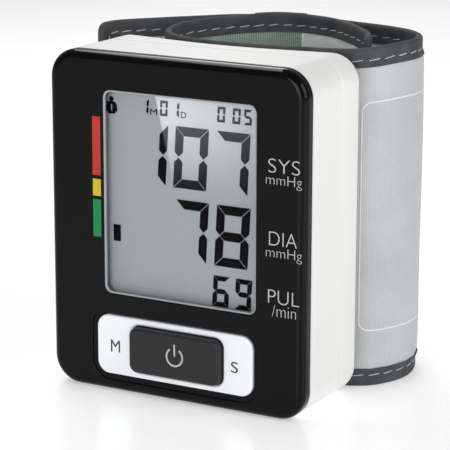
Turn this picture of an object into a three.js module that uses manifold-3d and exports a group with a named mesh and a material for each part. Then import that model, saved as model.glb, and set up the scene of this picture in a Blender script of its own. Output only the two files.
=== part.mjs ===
// Wrist blood pressure monitor: an upright case with a display, a rocking key plate and a power key,
// and a wrist cuff that is wound behind it and closed with hook and loop.
// Millimetres, +X right, +Y away from the viewer, +Z up. The origin is the middle of the flat lower
// face of the middle case, which is what the monitor stands on.
import * as THREE from "three";
import { mergeVertices } from "three/addons/utils/BufferGeometryUtils.js";
import Module from "manifold-3d";

const wasm = await Module();
wasm.setup();

// Fits and small clearances
const fitGap = 0.2;
const runGap = 0.3;
const overrun = 1;
const weldDistance = 1e-4;

// Case: three shells stacked along Y
const caseWidth = 70;
const caseHeight = 84;
const caseCornerRadius = 7;
const caseWall = 2;
const bezelDepth = 4;
const midCaseDepth = 15;
const backCoverDepth = 10.8;
const backHollow = 4.1;
const backHollowInset = 6;
const backHollowHalf = caseWidth / 2 - backHollowInset;
const backHollowPower = 1.5;
const bezelEdgeRadius = 1.5;
const backEdgeRadius = 3;
const seamGap = 0.1;
const seamChamfer = 0.3;
const lipDepth = 1.2;
const lipWall = 0.8;
const lipRoot = 1.2;
const cornerSteps = 5;
const smallCornerSteps = 3;
const roundSides = 16;
const largeSides = 24;
const smallSides = 12;
const boreSides = 8;
const filletSteps = 3;
const backSteps = 8;

// Face: display window and the opening for the keys
const faceWall = 1.2;
const windowLeftMargin = 15.47;
const windowRightMargin = 12.73;
const windowTopMargin = 8.885;
const windowFootMargin = 24.915;
const windowRadius = 2;
const windowWidth = caseWidth - windowLeftMargin - windowRightMargin;
const windowHeight = caseHeight - windowTopMargin - windowFootMargin;
const windowX = (windowLeftMargin - windowRightMargin) / 2;
const windowZ = windowFootMargin + windowHeight / 2;
const keyZ = 11.92;
const moatWidth = 1.6;
const moatDepth = 0.8;
const collarWall = 1.2;
const collarDepth = 1.4;

// Display stack behind the face wall
const lensMargin = 2;
const lensThickness = 1;
const lensRimWall = 0.8;
const lcdMargin = 1.6;
const lcdThickness = 2;
const lcdFrameWall = 0.8;
const lcdLedge = 1.2;
const zebraInset = 2.9;
const zebraWidth = windowWidth - 2 * zebraInset;
const zebraThickness = 1.6;

// Keys
const plateMargin = 13.35;
const plateWidth = caseWidth - 2 * plateMargin;
const plateHeight = 14.94;
const plateRadius = 3.2;
const plateThickness = 1.6;
const plateRise = 0.3;
const plateEdgeRadius = 0.4;
const platePivotRadius = 0.6;
const platePivotLength = 1.1;
const plateLugHalf = 1.5;
const plateStemInset = 4.75;
const plateStemX = plateWidth / 2 - plateStemInset;
const plateStemRadius = 1.5;
const plateRock = 1.5;
const powerKeyMargin = 9.1;
const powerKeyWidth = plateWidth - 2 * powerKeyMargin;
const powerKeyHeight = 11.3;
const powerKeyRadius = 2.1;
const powerKeyRise = 1.7;
const powerKeyEdgeRadius = 0.9;
const powerKeyX = 0.85;
const powerKeyTravel = 0.6;
const powerKeyFlange = 0.8;
const powerKeyFlangeThickness = 0.6;

// Main board and what is soldered to it
const boardThickness = 1.2;
const boardStack = 0.4;
const boardMargin = 1.5;
const boardNotchRadius = 4;
const boardStakeInset = 5.5;
const boardStakeX = caseWidth / 2 - boardStakeInset;
const boardStakeRadius = 0.8;
const boardBossRadius = 1.8;
const boardStakeFoot = 25;
const boardStakeTop = 22;
const boardStakeZ = [boardStakeFoot, caseHeight - boardStakeTop];
const boardStakeHead = 0.5;
const solderGap = 0.05;
const switchSize = 6;
const switchHeight = 1.8;
const switchTipRadius = 1.6;
const switchTipHeight = 0.8;
const chipSize = 10;
const chipHeight = 1.2;
const chipX = 2;
const chipZ = 32;
const buzzerRadius = 4.5;
const buzzerHeight = 4;
const buzzerBore = 0.8;
const buzzerX = 1;
const buzzerZ = 15;
const sensorSize = 8;
const sensorHeight = 2.2;
const sensorX = 2;

// Screws from the back cover into the face
const screwInset = 6;
const screwPostRadius = 3.2;
const screwShankRadius = 1.1;
const screwHeadRadius = 2.6;
const screwHeadThickness = 1.8;
const screwHeadSink = 2.4;
const screwTipGap = 0.5;
const screwFloor = 0.8;

// Battery compartment in the left side
const cellRadius = 5.25;
const cellLength = 44.5;
const cellNubRadius = 2.3;
const cellNubLength = 1.3;
const cellRim = 0.4;
const cellPitch = 11;
const springLength = 3;
const springWire = 0.45;
const springTurns = 3.5;
const springFootRadius = 3.4;
const springTipRadius = 2;
const contactThickness = 0.4;
const contactWidth = 9;
const trayWall = 1;
const doorGap = 0.3;
const doorClearance = 1.7;
const doorRibs = 4;
const doorRibPitch = 2.4;
const doorRibWidth = 1;
const doorRibHeight = 0.35;
const doorTabDrop = 1.2;
const doorTabThickness = 0.8;
const doorTabWidth = 3;
const doorTabMargin = 1.075;
const doorTabLength = 2;
const doorFingerRadius = 5;
const doorFingerDepth = 0.9;

// Air side: pump, valve, manifold and hoses stand in one column
const airInset = 13;
const airX = caseWidth / 2 - caseWall - airInset;
const airY = 3.4;
const motorRadius = 6;
const motorWall = 0.6;
const motorFoot = 11;
const shaftRadius = 0.8;
const rotorRadius = 4.6;
const rotorCore = 2.2;
const rotorPoleWidth = 3;
const rotorInset = 2;
const shaftSeat = 1.5;
const pumpGroove = 0.5;
const nozzleRadius = 1.2;
const nozzleBore = 0.6;
const nozzleLength = 4;
const cuffLegLength = 2.2;
const hoseRadius = 2.4;
const hoseBore = 1.5;
const sensorHoseBend = 3.2;
const hoseEndGap = 0.9;
const manifoldSize = 5;
const valveRadius = 4.5;
const plungerRadius = 1.2;
const plungerHeadRadius = 2.2;
const plungerHeadThickness = 0.8;
const valveTravel = 1;
const valveChamber = 3;
const saddleThickness = 1.2;
const saddleWall = 1.6;
const columnHeadroom = 7.4;
const columnGaps = 4 * nozzleLength + manifoldSize + 3 * fitGap;
const columnRoom = caseHeight - motorFoot - columnHeadroom - columnGaps;
const motorShare = 5 / 11;
const pumpHeadShare = 1 / 4;
const motorLength = motorShare * columnRoom;
const pumpHeadLength = pumpHeadShare * columnRoom;
const valveLength = columnRoom - motorLength - pumpHeadLength;

// Cuff: a band that is wound behind the case
const cuffRise = 1.6;
const cuffHeight = caseHeight + cuffRise;
const cuffOverhang = 14;
const cuffSpan = caseWidth + cuffOverhang;
const cuffReach = 40;
const cuffGap = 0.3;
const fabricThickness = 0.5;
const layerGap = 0.15;
const stiffenerThickness = 0.4;
const headRoom = 0.5;
const bladderThickness = 0.45;
const bindingThickness = 0.35;
const bindingClearance = 0.1;
const bindingReach = 4.7;
const bindingTopGap = 0.2;
const bandCornerRadius = 2.5;
const wrapClearance = 0.3;
const hookInset = 0.2;
const tailHingeGap = 0.3;
const rootSteps = 50;
const tailSteps = 24;
const cornerStations = 3;
const holeSides = 12;
const stiffenerInset = 6;
const bladderInset = 9;
const liningSeam = 37.75;
const hookMargin = 6.6;

// Cuff fixing on the back cover
const rivetShare = 0.57;
const rivetSpacingShare = 0.4;
const rivetSpacingZ = 40;
const rivetHeadRadius = 2.2;
const rivetHeadThickness = 0.3;
const rivetShankRadius = 1.2;
const rivetTailRadius = 2;
const rivetTailThickness = 0.8;
const portFlangeRadius = 3.5;
const portRadius = 1.9;
const portBore = 0.9;
const portReach = 2.4;
const portBossRadius = 4;
const portBossHeight = 1;

// Planes along Y
const seamFront = -midCaseDepth / 2;
const seamBack = midCaseDepth / 2;
const face = seamFront - bezelDepth;
const backSide = seamBack + backCoverDepth;
const faceInner = face + faceWall;
const lensFront = faceInner + fitGap;
const lcdFront = lensFront + lensThickness + fitGap;
const lcdBack = lcdFront + lcdThickness;
const lcdFrameBack = lcdBack + fitGap + lcdLedge;
const boardFront = lcdFrameBack + boardStack;
const boardBack = boardFront + boardThickness;
const switchTip = boardFront - solderGap - switchHeight - switchTipHeight;
const plateFront = face - plateRise;
const plateBack = plateFront + plateThickness;
const platePivotY = faceInner + fitGap + platePivotRadius;
const cellFront = boardBack + 2 * runGap;
const cellY = cellFront + cellRadius;
const trayFloor = cellY + cellRadius + fitGap;

// Places of the battery compartment along X and Z
const innerSide = caseWidth / 2 - caseWall;
const cellX = -innerSide + 2 * runGap + cellRadius;
const trayInner = cellLength + springLength + 2 * contactThickness + 4 * fitGap;
const trayLeft = -innerSide + doorClearance;
const trayRight = cellX + cellPitch + cellRadius + fitGap;
const doorFront = cellFront - fitGap;
const doorBottom = (caseHeight - trayInner) / 2;
const doorTop = (caseHeight + trayInner) / 2;

// Places of the rivets along X: between the tray's ribs and the saddles
const ribSide = cellX + cellPitch + saddleThickness / 2;
const saddleSide = airX - motorRadius - saddleWall;
const rivetX = THREE.MathUtils.lerp(ribSide, saddleSide, rivetShare);
const rivetSpacingX = rivetSpacingShare * (saddleSide - ribSide);

// Places of the air column along Z
const motorTop = motorFoot + motorLength;
const pumpHeadFoot = motorTop + fitGap;
const pumpHeadTop = pumpHeadFoot + pumpHeadLength;
const manifoldZ = pumpHeadTop + 2 * nozzleLength + fitGap + manifoldSize / 2;
const valveFoot = manifoldZ + manifoldSize / 2 + 2 * nozzleLength + fitGap;
const valveTop = valveFoot + valveLength;

// Band layers, measured from the middle of the band towards the outside of the wrist opening
const bandHalf = (2 * fabricThickness + 2 * layerGap + stiffenerThickness + headRoom + bladderThickness) / 2;
const bindingInner = bandHalf + bindingClearance;
const bindingOuter = bindingInner + bindingThickness;
const stiffenerOuter = bandHalf - fabricThickness - layerGap;
const stiffenerInner = stiffenerOuter - stiffenerThickness;
const liningOuter = -bandHalf + fabricThickness;
const bladderInner = liningOuter + layerGap;
const bladderOuter = bladderInner + bladderThickness;
const wrapPitch = 2 * bindingOuter + wrapClearance;

// Solids and meshes

// A closed geometry as a solid whose shared corners are joined.
function toSolid(geometry) {
  const bare = geometry.index ? geometry.toNonIndexed() : geometry.clone();
  bare.deleteAttribute("normal");
  bare.deleteAttribute("uv");
  const merged = mergeVertices(bare, weldDistance);
  return new wasm.Manifold(
    new wasm.Mesh({
      numProp: 3,
      vertProperties: merged.attributes.position.array,
      triVerts: new Uint32Array(merged.index.array),
    }),
  );
}

function toGeometry(solid) {
  const { vertProperties, triVerts } = solid.getMesh();
  const geometry = new THREE.BufferGeometry();
  geometry.setAttribute("position", new THREE.BufferAttribute(vertProperties, 3));
  geometry.setIndex(new THREE.BufferAttribute(triVerts, 1));
  geometry.computeVertexNormals();
  return geometry;
}

function join(solids) {
  return solids.reduce((sum, solid) => sum.add(solid));
}

function cut(solid, tools) {
  return tools.reduce((rest, tool) => rest.subtract(tool), solid);
}

function finish(color, roughness, metalness = 0) {
  return { color, roughness, metalness, flatShading: true };
}

const finishes = {
  blackGloss: finish("#1c1c1a", 0.12),
  whitePlastic: finish("#eeeeec", 0.4),
  silverPlastic: finish("#dfe3e6", 0.3, 0.2),
  darkKey: finish("#343436", 0.35),
  clear: finish("#c9d2d6", 0.05),
  lcdGlass: finish("#9ea3a5", 0.3),
  innerPlastic: finish("#cfcfc8", 0.6),
  blackRubber: finish("#202020", 0.8),
  board: finish("#1f5f3a", 0.6),
  chip: finish("#1b1b1d", 0.5),
  steel: finish("#b9bcc0", 0.35, 1),
  cell: finish("#3a3f4a", 0.4, 0.3),
  hose: finish("#d8d8d2", 0.7),
  greyCloth: finish("#b4b7ba", 0.9),
  wristCloth: finish("#82968c", 0.95),
  paleCloth: finish("#c3c6c8", 0.9),
  binding: finish("#34353a", 0.95),
  bladder: finish("#8d8f92", 0.7),
  springSheet: finish("#dfe0dc", 0.4),
  hook: finish("#3c3d40", 0.95),
};

function addPart(group, name, shape, look, position = [0, 0, 0], turn = 0) {
  const geometry = shape.isBufferGeometry ? shape : toGeometry(shape);
  const mesh = new THREE.Mesh(geometry, new THREE.MeshStandardMaterial(look));
  mesh.name = name;
  mesh.position.set(...position);
  mesh.rotation.z = turn;
  group.add(mesh);
}

// Basic shapes

function box([x0, x1], [y0, y1], [z0, z1]) {
  const geometry = new THREE.BoxGeometry(x1 - x0, y1 - y0, z1 - z0);
  geometry.translate((x0 + x1) / 2, (y0 + y1) / 2, (z0 + z1) / 2);
  return toSolid(geometry);
}

const axes = {
  x: new THREE.Vector3(1, 0, 0),
  y: new THREE.Vector3(0, 1, 0),
  z: new THREE.Vector3(0, 0, 1),
};

// Turns a shape made round the local Y axis onto another axis and moves it to its place.
function place(geometry, axis, at) {
  const turn = new THREE.Quaternion().setFromUnitVectors(axes.y, axes[axis]);
  geometry.applyQuaternion(turn);
  geometry.translate(...at);
  return geometry;
}

// A round bar that starts at a point and runs along an axis.
function rod(axis, at, length, radius, sides = roundSides) {
  const geometry = new THREE.CylinderGeometry(radius, radius, length, sides);
  geometry.translate(0, length / 2, 0);
  return toSolid(place(geometry, axis, at));
}

// A turned body: its profile lists [radius, height] from the lower end of the axis to the upper end.
function turned(axis, at, profile, sides = roundSides) {
  const points = profile.map(([radius, height]) => new THREE.Vector2(radius, height));
  return toSolid(place(new THREE.LatheGeometry(points, sides), axis, at));
}

// A turned body with a bore through it: the profile closes on itself.
function turnedTube(axis, at, profile, bore) {
  const foot = [bore, profile[0][1]];
  const head = [bore, profile[profile.length - 1][1]];
  return turned(axis, at, [foot, ...profile, head, foot]);
}

// A closed body from rings with the same number of points, with flat or ruled caps given as triangles.
function loft(rings, capTriangles) {
  const count = rings[0].length;
  const index = [];
  for (let ring = 0; ring + 1 < rings.length; ring++) {
    for (let point = 0; point < count; point++) {
      const next = (point + 1) % count;
      const a = ring * count + point;
      const b = ring * count + next;
      index.push(a, b, b + count, a, b + count, a + count);
    }
  }
  const last = (rings.length - 1) * count;
  for (const [a, b, c] of capTriangles) {
    index.push(a, c, b, last + a, last + b, last + c);
  }
  const corners = rings.flat();
  if (signedVolume(corners, index) < 0) {
    index.reverse();
  }
  const geometry = new THREE.BufferGeometry();
  geometry.setAttribute("position", new THREE.Float32BufferAttribute(corners.flat(), 3));
  geometry.setIndex(index);
  return toSolid(geometry);
}

function signedVolume(corners, index) {
  const [a, b, c] = [new THREE.Vector3(), new THREE.Vector3(), new THREE.Vector3()];
  let volume = 0;
  for (let i = 0; i < index.length; i += 3) {
    a.fromArray(corners[index[i]]);
    b.fromArray(corners[index[i + 1]]);
    c.fromArray(corners[index[i + 2]]);
    volume += a.dot(b.cross(c));
  }
  return volume;
}

// Triangles that fill a flat outline, wound the same way as the outline.
function capOf(points) {
  const outline = points.map(([u, v]) => new THREE.Vector2(u, v));
  const way = Math.sign(THREE.ShapeUtils.area(outline));
  return THREE.ShapeUtils.triangulateShape(outline, []).map(([a, b, c]) => {
    const turn = Math.sign(THREE.ShapeUtils.area([outline[a], outline[b], outline[c]]));
    return turn === way ? [a, b, c] : [a, c, b];
  });
}

// Rounded blocks: rounded rectangles in the XZ plane, stacked along Y.
// The outline is a lower and an upper chain with the same X values, so a cap is ruled along Z.

function lowerChain({ width, height, radius, steps = cornerSteps }, inset, straightSteps) {
  const half = width / 2 - inset;
  const corner = Math.max(radius - inset, weldDistance);
  const floor = -height / 2 + inset;
  const chain = [];
  for (let step = 0; step <= steps; step++) {
    const angle = (step / steps) * (Math.PI / 2);
    chain.push([-half + corner * (1 - Math.cos(angle)), floor + corner * (1 - Math.sin(angle))]);
  }
  const flat = half - corner;
  for (let step = 1; step < straightSteps; step++) {
    chain.push([-flat + (2 * flat * step) / straightSteps, floor]);
  }
  const mirrored = chain.slice(0, steps + 1).reverse();
  return [...chain, ...mirrored.map(([x, z]) => [-x, z])];
}

// sections: [inset, y] from front to back. bend moves a point along Y by its X and Y.
function roundedBlock(size, sections, bend = (x, y) => y) {
  const { x: middleX = 0, z: middleZ, straightSteps = 1 } = size;
  const rings = sections.map(([inset, y]) => {
    const lower = lowerChain(size, inset, straightSteps);
    const upper = lower.map(([x, z]) => [x, -z]).reverse();
    return [...lower, ...upper].map(([x, z]) => [middleX + x, bend(middleX + x, y), middleZ + z]);
  });
  const count = rings[0].length;
  const capTriangles = [];
  for (let k = 0; k + 1 < count / 2; k++) {
    const [a, b, c, d] = [k, k + 1, count - 2 - k, count - 1 - k];
    capTriangles.push([a, b, c], [a, c, d]);
  }
  return loft(rings, capTriangles);
}

function grown(size, by) {
  return { ...size, width: size.width + 2 * by, height: size.height + 2 * by, radius: size.radius + by };
}

// Sections of an edge rounded from the side wall to the end plane at y, in the direction given.
function roundedEnd(radius, y, direction) {
  const sections = [];
  for (let step = 0; step <= filletSteps; step++) {
    const angle = (step / filletSteps) * (Math.PI / 2);
    sections.push([radius * (1 - Math.cos(angle)), y - direction * radius * (1 - Math.sin(angle))]);
  }
  return direction > 0 ? sections : sections.reverse();
}

// Case

const caseOutline = {
  width: caseWidth,
  height: caseHeight,
  radius: caseCornerRadius,
  z: caseHeight / 2,
};
const windowOutline = {
  width: windowWidth,
  height: windowHeight,
  radius: windowRadius,
  steps: smallCornerSteps,
  x: windowX,
  z: windowZ,
};
const plateOutline = {
  width: plateWidth,
  height: plateHeight,
  radius: plateRadius,
  steps: smallCornerSteps + 1,
  z: keyZ,
};
const powerKeyOutline = {
  width: powerKeyWidth,
  height: powerKeyHeight,
  radius: powerKeyRadius,
  steps: smallCornerSteps + 1,
  x: powerKeyX,
  z: keyZ,
};
const lensOutline = grown(windowOutline, lensMargin);
const lcdOutline = grown(windowOutline, lcdMargin);
const screwX = caseWidth / 2 - screwInset;
const screwZs = [screwInset, caseHeight - screwInset];
const screwPlaces = [-screwX, screwX].flatMap((x) => screwZs.map((z) => [x, z]));

// Depth of the hollow that takes the wrist: full in the middle, and running out smoothly to the sides.
function backHollowAt(x) {
  return backHollow * Math.max(0, 1 - (x / backHollowHalf) ** 2) ** backHollowPower;
}

function backAt(x) {
  return backSide - backHollowAt(x);
}

function screwHeadFoot(x) {
  return backAt(x) - screwHeadSink - screwHeadThickness;
}

// Hollows a block in proportion to its depth behind the seam.
function hollowBend(deepest) {
  return (x, y) => y - (backHollowAt(x) * Math.max(0, y - seamBack)) / (deepest - seamBack);
}

function slab(size, y0, y1) {
  return roundedBlock(size, [
    [0, y0],
    [0, y1],
  ]);
}

function frontBezel() {
  const outer = roundedBlock(caseOutline, [
    ...roundedEnd(bezelEdgeRadius, face, -1),
    [0, seamFront - seamGap / 2 - seamChamfer],
    [seamChamfer, seamFront - seamGap / 2],
  ]);
  const cavity = slab(grown(caseOutline, -caseWall), faceInner, seamFront + overrun);
  const collarOuter = grown(plateOutline, runGap + collarWall);
  const collarBack = face + collarDepth + faceWall;
  const plateHole = slab(grown(plateOutline, runGap), face - overrun, seamFront + overrun);
  const moat = slab(grown(plateOutline, moatWidth), face - overrun, face + moatDepth);
  const lensRim = slab(grown(lensOutline, fitGap + lensRimWall), faceInner, lensFront + lensThickness);
  const lensSeat = slab(grown(lensOutline, fitGap), faceInner, seamFront);
  const window = slab(windowOutline, face - overrun, faceInner + overrun);
  const bossBack = seamFront - fitGap;
  const faceMiddle = faceInner - faceWall / 2;
  const bosses = screwPlaces.map(([x, z]) =>
    rod("y", [x, faceMiddle, z], bossBack - faceMiddle, screwPostRadius - fitGap),
  );
  const pilots = screwPlaces.map(([x, z]) =>
    rod("y", [x, face + screwFloor, z], bezelDepth, screwShankRadius + runGap),
  );
  const stakes = boardStakeZ.flatMap((z) =>
    [-boardStakeX, boardStakeX].flatMap((x) => [
      rod("y", [x, faceMiddle, z], boardFront - fitGap - faceMiddle, boardBossRadius, smallSides),
      rod("y", [x, faceInner, z], boardBack + boardStakeHead - faceInner, boardStakeRadius, smallSides),
    ]),
  );
  const pivotSlotHalf = platePivotRadius + fitGap;
  const pivotTop = plateHeight / 2 + platePivotLength + runGap;
  const pivotSlot = box(
    [-pivotSlotHalf, pivotSlotHalf],
    [faceInner, collarBack + overrun],
    [keyZ - pivotTop, keyZ + pivotTop],
  );
  const shell = cut(outer, [cavity]);
  const walls = join([shell, slab(collarOuter, faceInner, collarBack), lensRim, ...bosses, ...stakes]);
  return cut(walls, [plateHole, moat, lensSeat, window, pivotSlot, ...pilots]);
}

function midCase() {
  const front = seamFront + seamGap / 2;
  const back = seamBack - seamGap / 2;
  const outer = roundedBlock(caseOutline, [
    [seamChamfer, front],
    [0, front + seamChamfer],
    [0, back - seamChamfer],
    [seamChamfer, back],
  ]);
  const cavityOutline = grown(caseOutline, -caseWall);
  const cavity = slab(cavityOutline, front - lipDepth - overrun, back + lipDepth + overrun);
  const lipOutline = grown(cavityOutline, -fitGap);
  const lipRoom = slab(grown(lipOutline, -lipWall), front - lipDepth - overrun, back + lipDepth + overrun);
  const lips = [
    slab(lipOutline, front - lipDepth, front + lipRoot),
    slab(lipOutline, back - lipRoot, back + lipDepth),
    slab(grown(cavityOutline, overrun), front, front + lipRoot),
    slab(grown(cavityOutline, overrun), back - lipRoot, back),
  ].map((lip) => lip.subtract(lipRoom));
  const posts = screwPlaces.map(([x, z]) =>
    rod("y", [x, front, z], back - front, screwPostRadius),
  );
  const boreLength = midCaseDepth + 2 * lipDepth + 2 * overrun;
  const bores = screwPlaces.map(([x, z]) =>
    rod("y", [x, front - lipDepth - overrun, z], boreLength, screwShankRadius + runGap),
  );
  const postRooms = screwPlaces.flatMap(([x, z]) => [
    rod("y", [x, front - lipDepth - overrun, z], lipDepth + overrun, screwPostRadius + fitGap),
    rod("y", [x, back, z], lipDepth + overrun, screwPostRadius + fitGap),
  ]);
  const doorway = box(
    [-caseWidth / 2 - overrun, -innerSide + lipWall + fitGap + overrun],
    [doorFront, back + lipDepth + overrun],
    [doorBottom, doorTop],
  );
  const finger = rod(
    "x",
    [-caseWidth / 2 - overrun, (doorFront + seamBack) / 2, doorTop + doorFingerDepth],
    overrun + doorFingerDepth,
    doorFingerRadius,
  );
  const wallRing = cut(outer, [cavity]);
  const ring = cut(join([wallRing, ...lips]), postRooms);
  return cut(join([ring, ...posts]), [...bores, doorway, finger]);
}

function backCover() {
  const front = seamBack + seamGap / 2;
  const innerBack = backSide - caseWall;
  const outline = { ...caseOutline, straightSteps: backSteps };
  const sections = [
    [seamChamfer, front],
    [0, front + seamChamfer],
    ...roundedEnd(backEdgeRadius, backSide, 1),
  ];
  const outer = roundedBlock(outline, sections, hollowBend(backSide));
  const cavity = roundedBlock(
    grown(outline, -caseWall),
    [
      [0, front - overrun],
      [0, innerBack],
    ],
    hollowBend(innerBack),
  );
  const inBack = (x) => backAt(x) - caseWall / 2;
  const posts = screwPlaces.map(([x, z]) =>
    rod("y", [x, front, z], inBack(x) - front, screwPostRadius),
  );
  const bores = screwPlaces.flatMap(([x, z]) => [
    rod("y", [x, front - overrun, z], backCoverDepth + overrun, screwShankRadius + runGap),
    rod("y", [x, screwHeadFoot(x), z], backCoverDepth, screwHeadRadius + runGap),
  ]);
  const saddles = join(saddleList().map(([z, radius]) => saddle(z, radius)));
  const trayRibs = trayRibPlaces().map((x) =>
    box(
      [x - saddleThickness / 2, x + saddleThickness / 2],
      [trayFloor + trayWall + runGap, inBack(x)],
      [doorBottom, doorTop],
    ),
  );
  const bossFoot = inBack(airX) - caseWall / 2 - portBossHeight;
  const portBoss = rod("y", [airX, bossFoot, manifoldZ], inBack(airX) - bossFoot, portBossRadius);
  const holes = [...rivetPlaces(), portPlace()].map((spot) =>
    holeThrough(spot, spot.radius + runGap, 0, bossTip + overrun),
  );
  const shell = outer.subtract(cavity);
  return cut(join([shell, ...posts, saddles, ...trayRibs, portBoss]), [...bores, ...holes]);
}

// Saddles carry the motor, the pump head and the valve in the back cover.
function saddleList() {
  const quarter = motorLength / 4;
  return [
    [motorFoot + quarter, motorRadius],
    [motorTop - quarter, motorRadius],
    [pumpHeadFoot + pumpHeadLength / 2, motorRadius],
    [valveFoot + valveLength / 4, valveRadius],
    [valveTop - valveLength / 4, valveRadius],
  ];
}

function saddle(z, radius) {
  const half = radius + saddleWall;
  const rib = box(
    [airX - half, airX + half],
    [airY, backAt(airX + half) - caseWall / 2],
    [z - saddleThickness / 2, z + saddleThickness / 2],
  );
  const seatFoot = [airX, airY, z - saddleThickness];
  const seat = rod("z", seatFoot, 2 * saddleThickness, radius + runGap, largeSides);
  const outside = roundedBlock(
    { ...caseOutline, straightSteps: backSteps },
    [
      [caseWall / 2, seamFront],
      [caseWall / 2, backSide - caseWall / 2],
    ],
    hollowBend(backSide - caseWall / 2),
  );
  return rib.subtract(seat).intersect(outside);
}

function trayRibPlaces() {
  return [cellX, cellX + cellPitch];
}

// Display

function display(group) {
  addPart(group, "display_lens", slab(lensOutline, lensFront, lensFront + lensThickness), finishes.clear);
  addPart(group, "lcd_panel", slab(lcdOutline, lcdFront, lcdBack), finishes.lcdGlass);
  const frameOutline = grown(lcdOutline, fitGap + lcdFrameWall);
  const frame = cut(slab(frameOutline, lcdFront, lcdFrameBack), [
    slab(grown(lcdOutline, fitGap), lcdFront - overrun, lcdBack + fitGap),
    slab(windowOutline, lcdFront, lcdFrameBack + overrun),
  ]);
  addPart(group, "lcd_frame", frame, finishes.innerPlastic);
  const stripFoot = windowZ - windowHeight / 2 + fitGap;
  const strip = box(
    [windowX - zebraWidth / 2, windowX + zebraWidth / 2],
    [lcdBack + fitGap, boardFront - fitGap],
    [stripFoot, stripFoot + zebraThickness],
  );
  addPart(group, "zebra_strip", strip, finishes.blackRubber);
}

// Keys

function keyPlate() {
  const sections = [...roundedEnd(plateEdgeRadius, plateFront, -1), [0, plateBack]];
  const body = roundedBlock(plateOutline, sections);
  const keyHole = slab(grown(powerKeyOutline, runGap), plateFront - overrun, plateBack + overrun);
  const stemTip = switchTip - plateTipTravel() - fitGap;
  const plateMiddle = plateBack - plateThickness / 2;
  const stems = [-plateStemX, plateStemX].map((x) =>
    rod("y", [x, plateMiddle, keyZ], stemTip - plateMiddle, plateStemRadius),
  );
  const lugInner = powerKeyHeight / 2 + 2 * runGap;
  const pivots = [-1, 1].flatMap((side) => {
    const lugEnds = [keyZ + side * lugInner, keyZ + (side * plateHeight) / 2].sort((a, b) => a - b);
    const pinFoot = side > 0 ? lugEnds[0] : lugEnds[0] - platePivotLength;
    const pinLength = plateHeight / 2 + platePivotLength - lugInner;
    return [
      box([-plateLugHalf, plateLugHalf], [plateMiddle, platePivotY + platePivotRadius], lugEnds),
      rod("z", [0, platePivotY, pinFoot], pinLength, platePivotRadius, smallSides),
    ];
  });
  return join([body.subtract(keyHole), ...stems, ...pivots]);
}

// How far the rocking plate moves its stems.
function plateTipTravel() {
  return plateStemX * Math.sin(THREE.MathUtils.degToRad(plateRock));
}

function powerKey() {
  const front = plateFront - powerKeyRise;
  const flangeFront = plateBack + powerKeyTravel;
  const body = roundedBlock(powerKeyOutline, [
    ...roundedEnd(powerKeyEdgeRadius, front, -1),
    [0, flangeFront + powerKeyFlangeThickness],
  ]);
  const flangeOutline = { ...powerKeyOutline, width: powerKeyWidth + 2 * powerKeyFlange };
  const flangeBack = flangeFront + powerKeyFlangeThickness;
  const flange = slab(flangeOutline, flangeFront, flangeBack);
  const stemTip = switchTip - powerKeyTravel - fitGap;
  const hollow = slab(grown(powerKeyOutline, -caseWall), front + caseWall, flangeBack + overrun);
  const stemFoot = front + caseWall / 2;
  const stem = rod("y", [0, stemFoot, keyZ], stemTip - stemFoot, plateStemRadius);
  return join([body.add(flange).subtract(hollow), stem]);
}

// Electronics

function mainBoard() {
  const outline = grown(caseOutline, -caseWall - boardMargin);
  const board = slab(outline, boardFront, boardBack);
  const through = boardThickness + 2 * overrun;
  const notches = screwPlaces.map(([x, z]) =>
    rod("y", [x, boardFront - overrun, z], through, boardNotchRadius),
  );
  const stakeHoles = boardStakeZ.flatMap((z) =>
    [-boardStakeX, boardStakeX].map((x) =>
      rod("y", [x, boardFront - overrun, z], through, boardStakeRadius + runGap, smallSides),
    ),
  );
  return cut(board, [...notches, ...stakeHoles]);
}

function tactSwitch() {
  const half = switchSize / 2;
  const top = -solderGap - switchHeight;
  const body = box([-half, half], [top, -solderGap], [-half, half]);
  return body.add(rod("y", [0, top - switchTipHeight, 0], switchHeight, switchTipRadius));
}

function pressureSensor() {
  const half = sensorSize / 2;
  const foot = boardBack + solderGap;
  const top = foot + sensorHeight;
  const middle = foot + sensorHeight / 2;
  const tip = airY - sensorHoseBend;
  const across = [sensorX - half, sensorX + half];
  const body = box(across, [foot, top], [manifoldZ - half, manifoldZ + half]);
  const nozzle = rod("y", [sensorX, middle, manifoldZ], tip - middle, nozzleRadius);
  const bore = rod("y", [sensorX, middle, manifoldZ], tip - middle + overrun, nozzleBore, boreSides);
  return cut(body.add(nozzle), [bore]);
}

function electronics(group) {
  addPart(group, "main_pcb", mainBoard(), finishes.board);
  const switches = [
    ["memory_switch", -plateStemX],
    ["power_switch", 0],
    ["set_switch", plateStemX],
  ];
  for (const [name, x] of switches) {
    addPart(group, name, tactSwitch(), finishes.steel, [x, boardFront, keyZ]);
  }
  const chipFoot = boardBack + solderGap;
  const half = chipSize / 2;
  const chipAcross = [chipX - half, chipX + half];
  const chip = box(chipAcross, [chipFoot, chipFoot + chipHeight], [chipZ - half, chipZ + half]);
  addPart(group, "controller_chip", chip, finishes.chip);
  const can = rod("y", [buzzerX, chipFoot, buzzerZ], buzzerHeight, buzzerRadius, largeSides);
  const soundHoleFoot = chipFoot + buzzerHeight / 2;
  const soundHole = rod("y", [buzzerX, soundHoleFoot, buzzerZ], buzzerHeight, buzzerBore, smallSides);
  addPart(group, "buzzer", can.subtract(soundHole), finishes.chip);
  addPart(group, "pressure_sensor", pressureSensor(), finishes.innerPlastic);
}

// Batteries

function batteryCell() {
  const body = cellLength - cellNubLength;
  return turned("z", [0, 0, -cellLength / 2], [
    [0, 0],
    [cellRadius - cellRim, 0],
    [cellRadius, cellRim],
    [cellRadius, body - cellRim],
    [cellRadius - cellRim, body],
    [cellNubRadius, body],
    [cellNubRadius, cellLength],
    [0, cellLength],
  ]);
}

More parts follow.
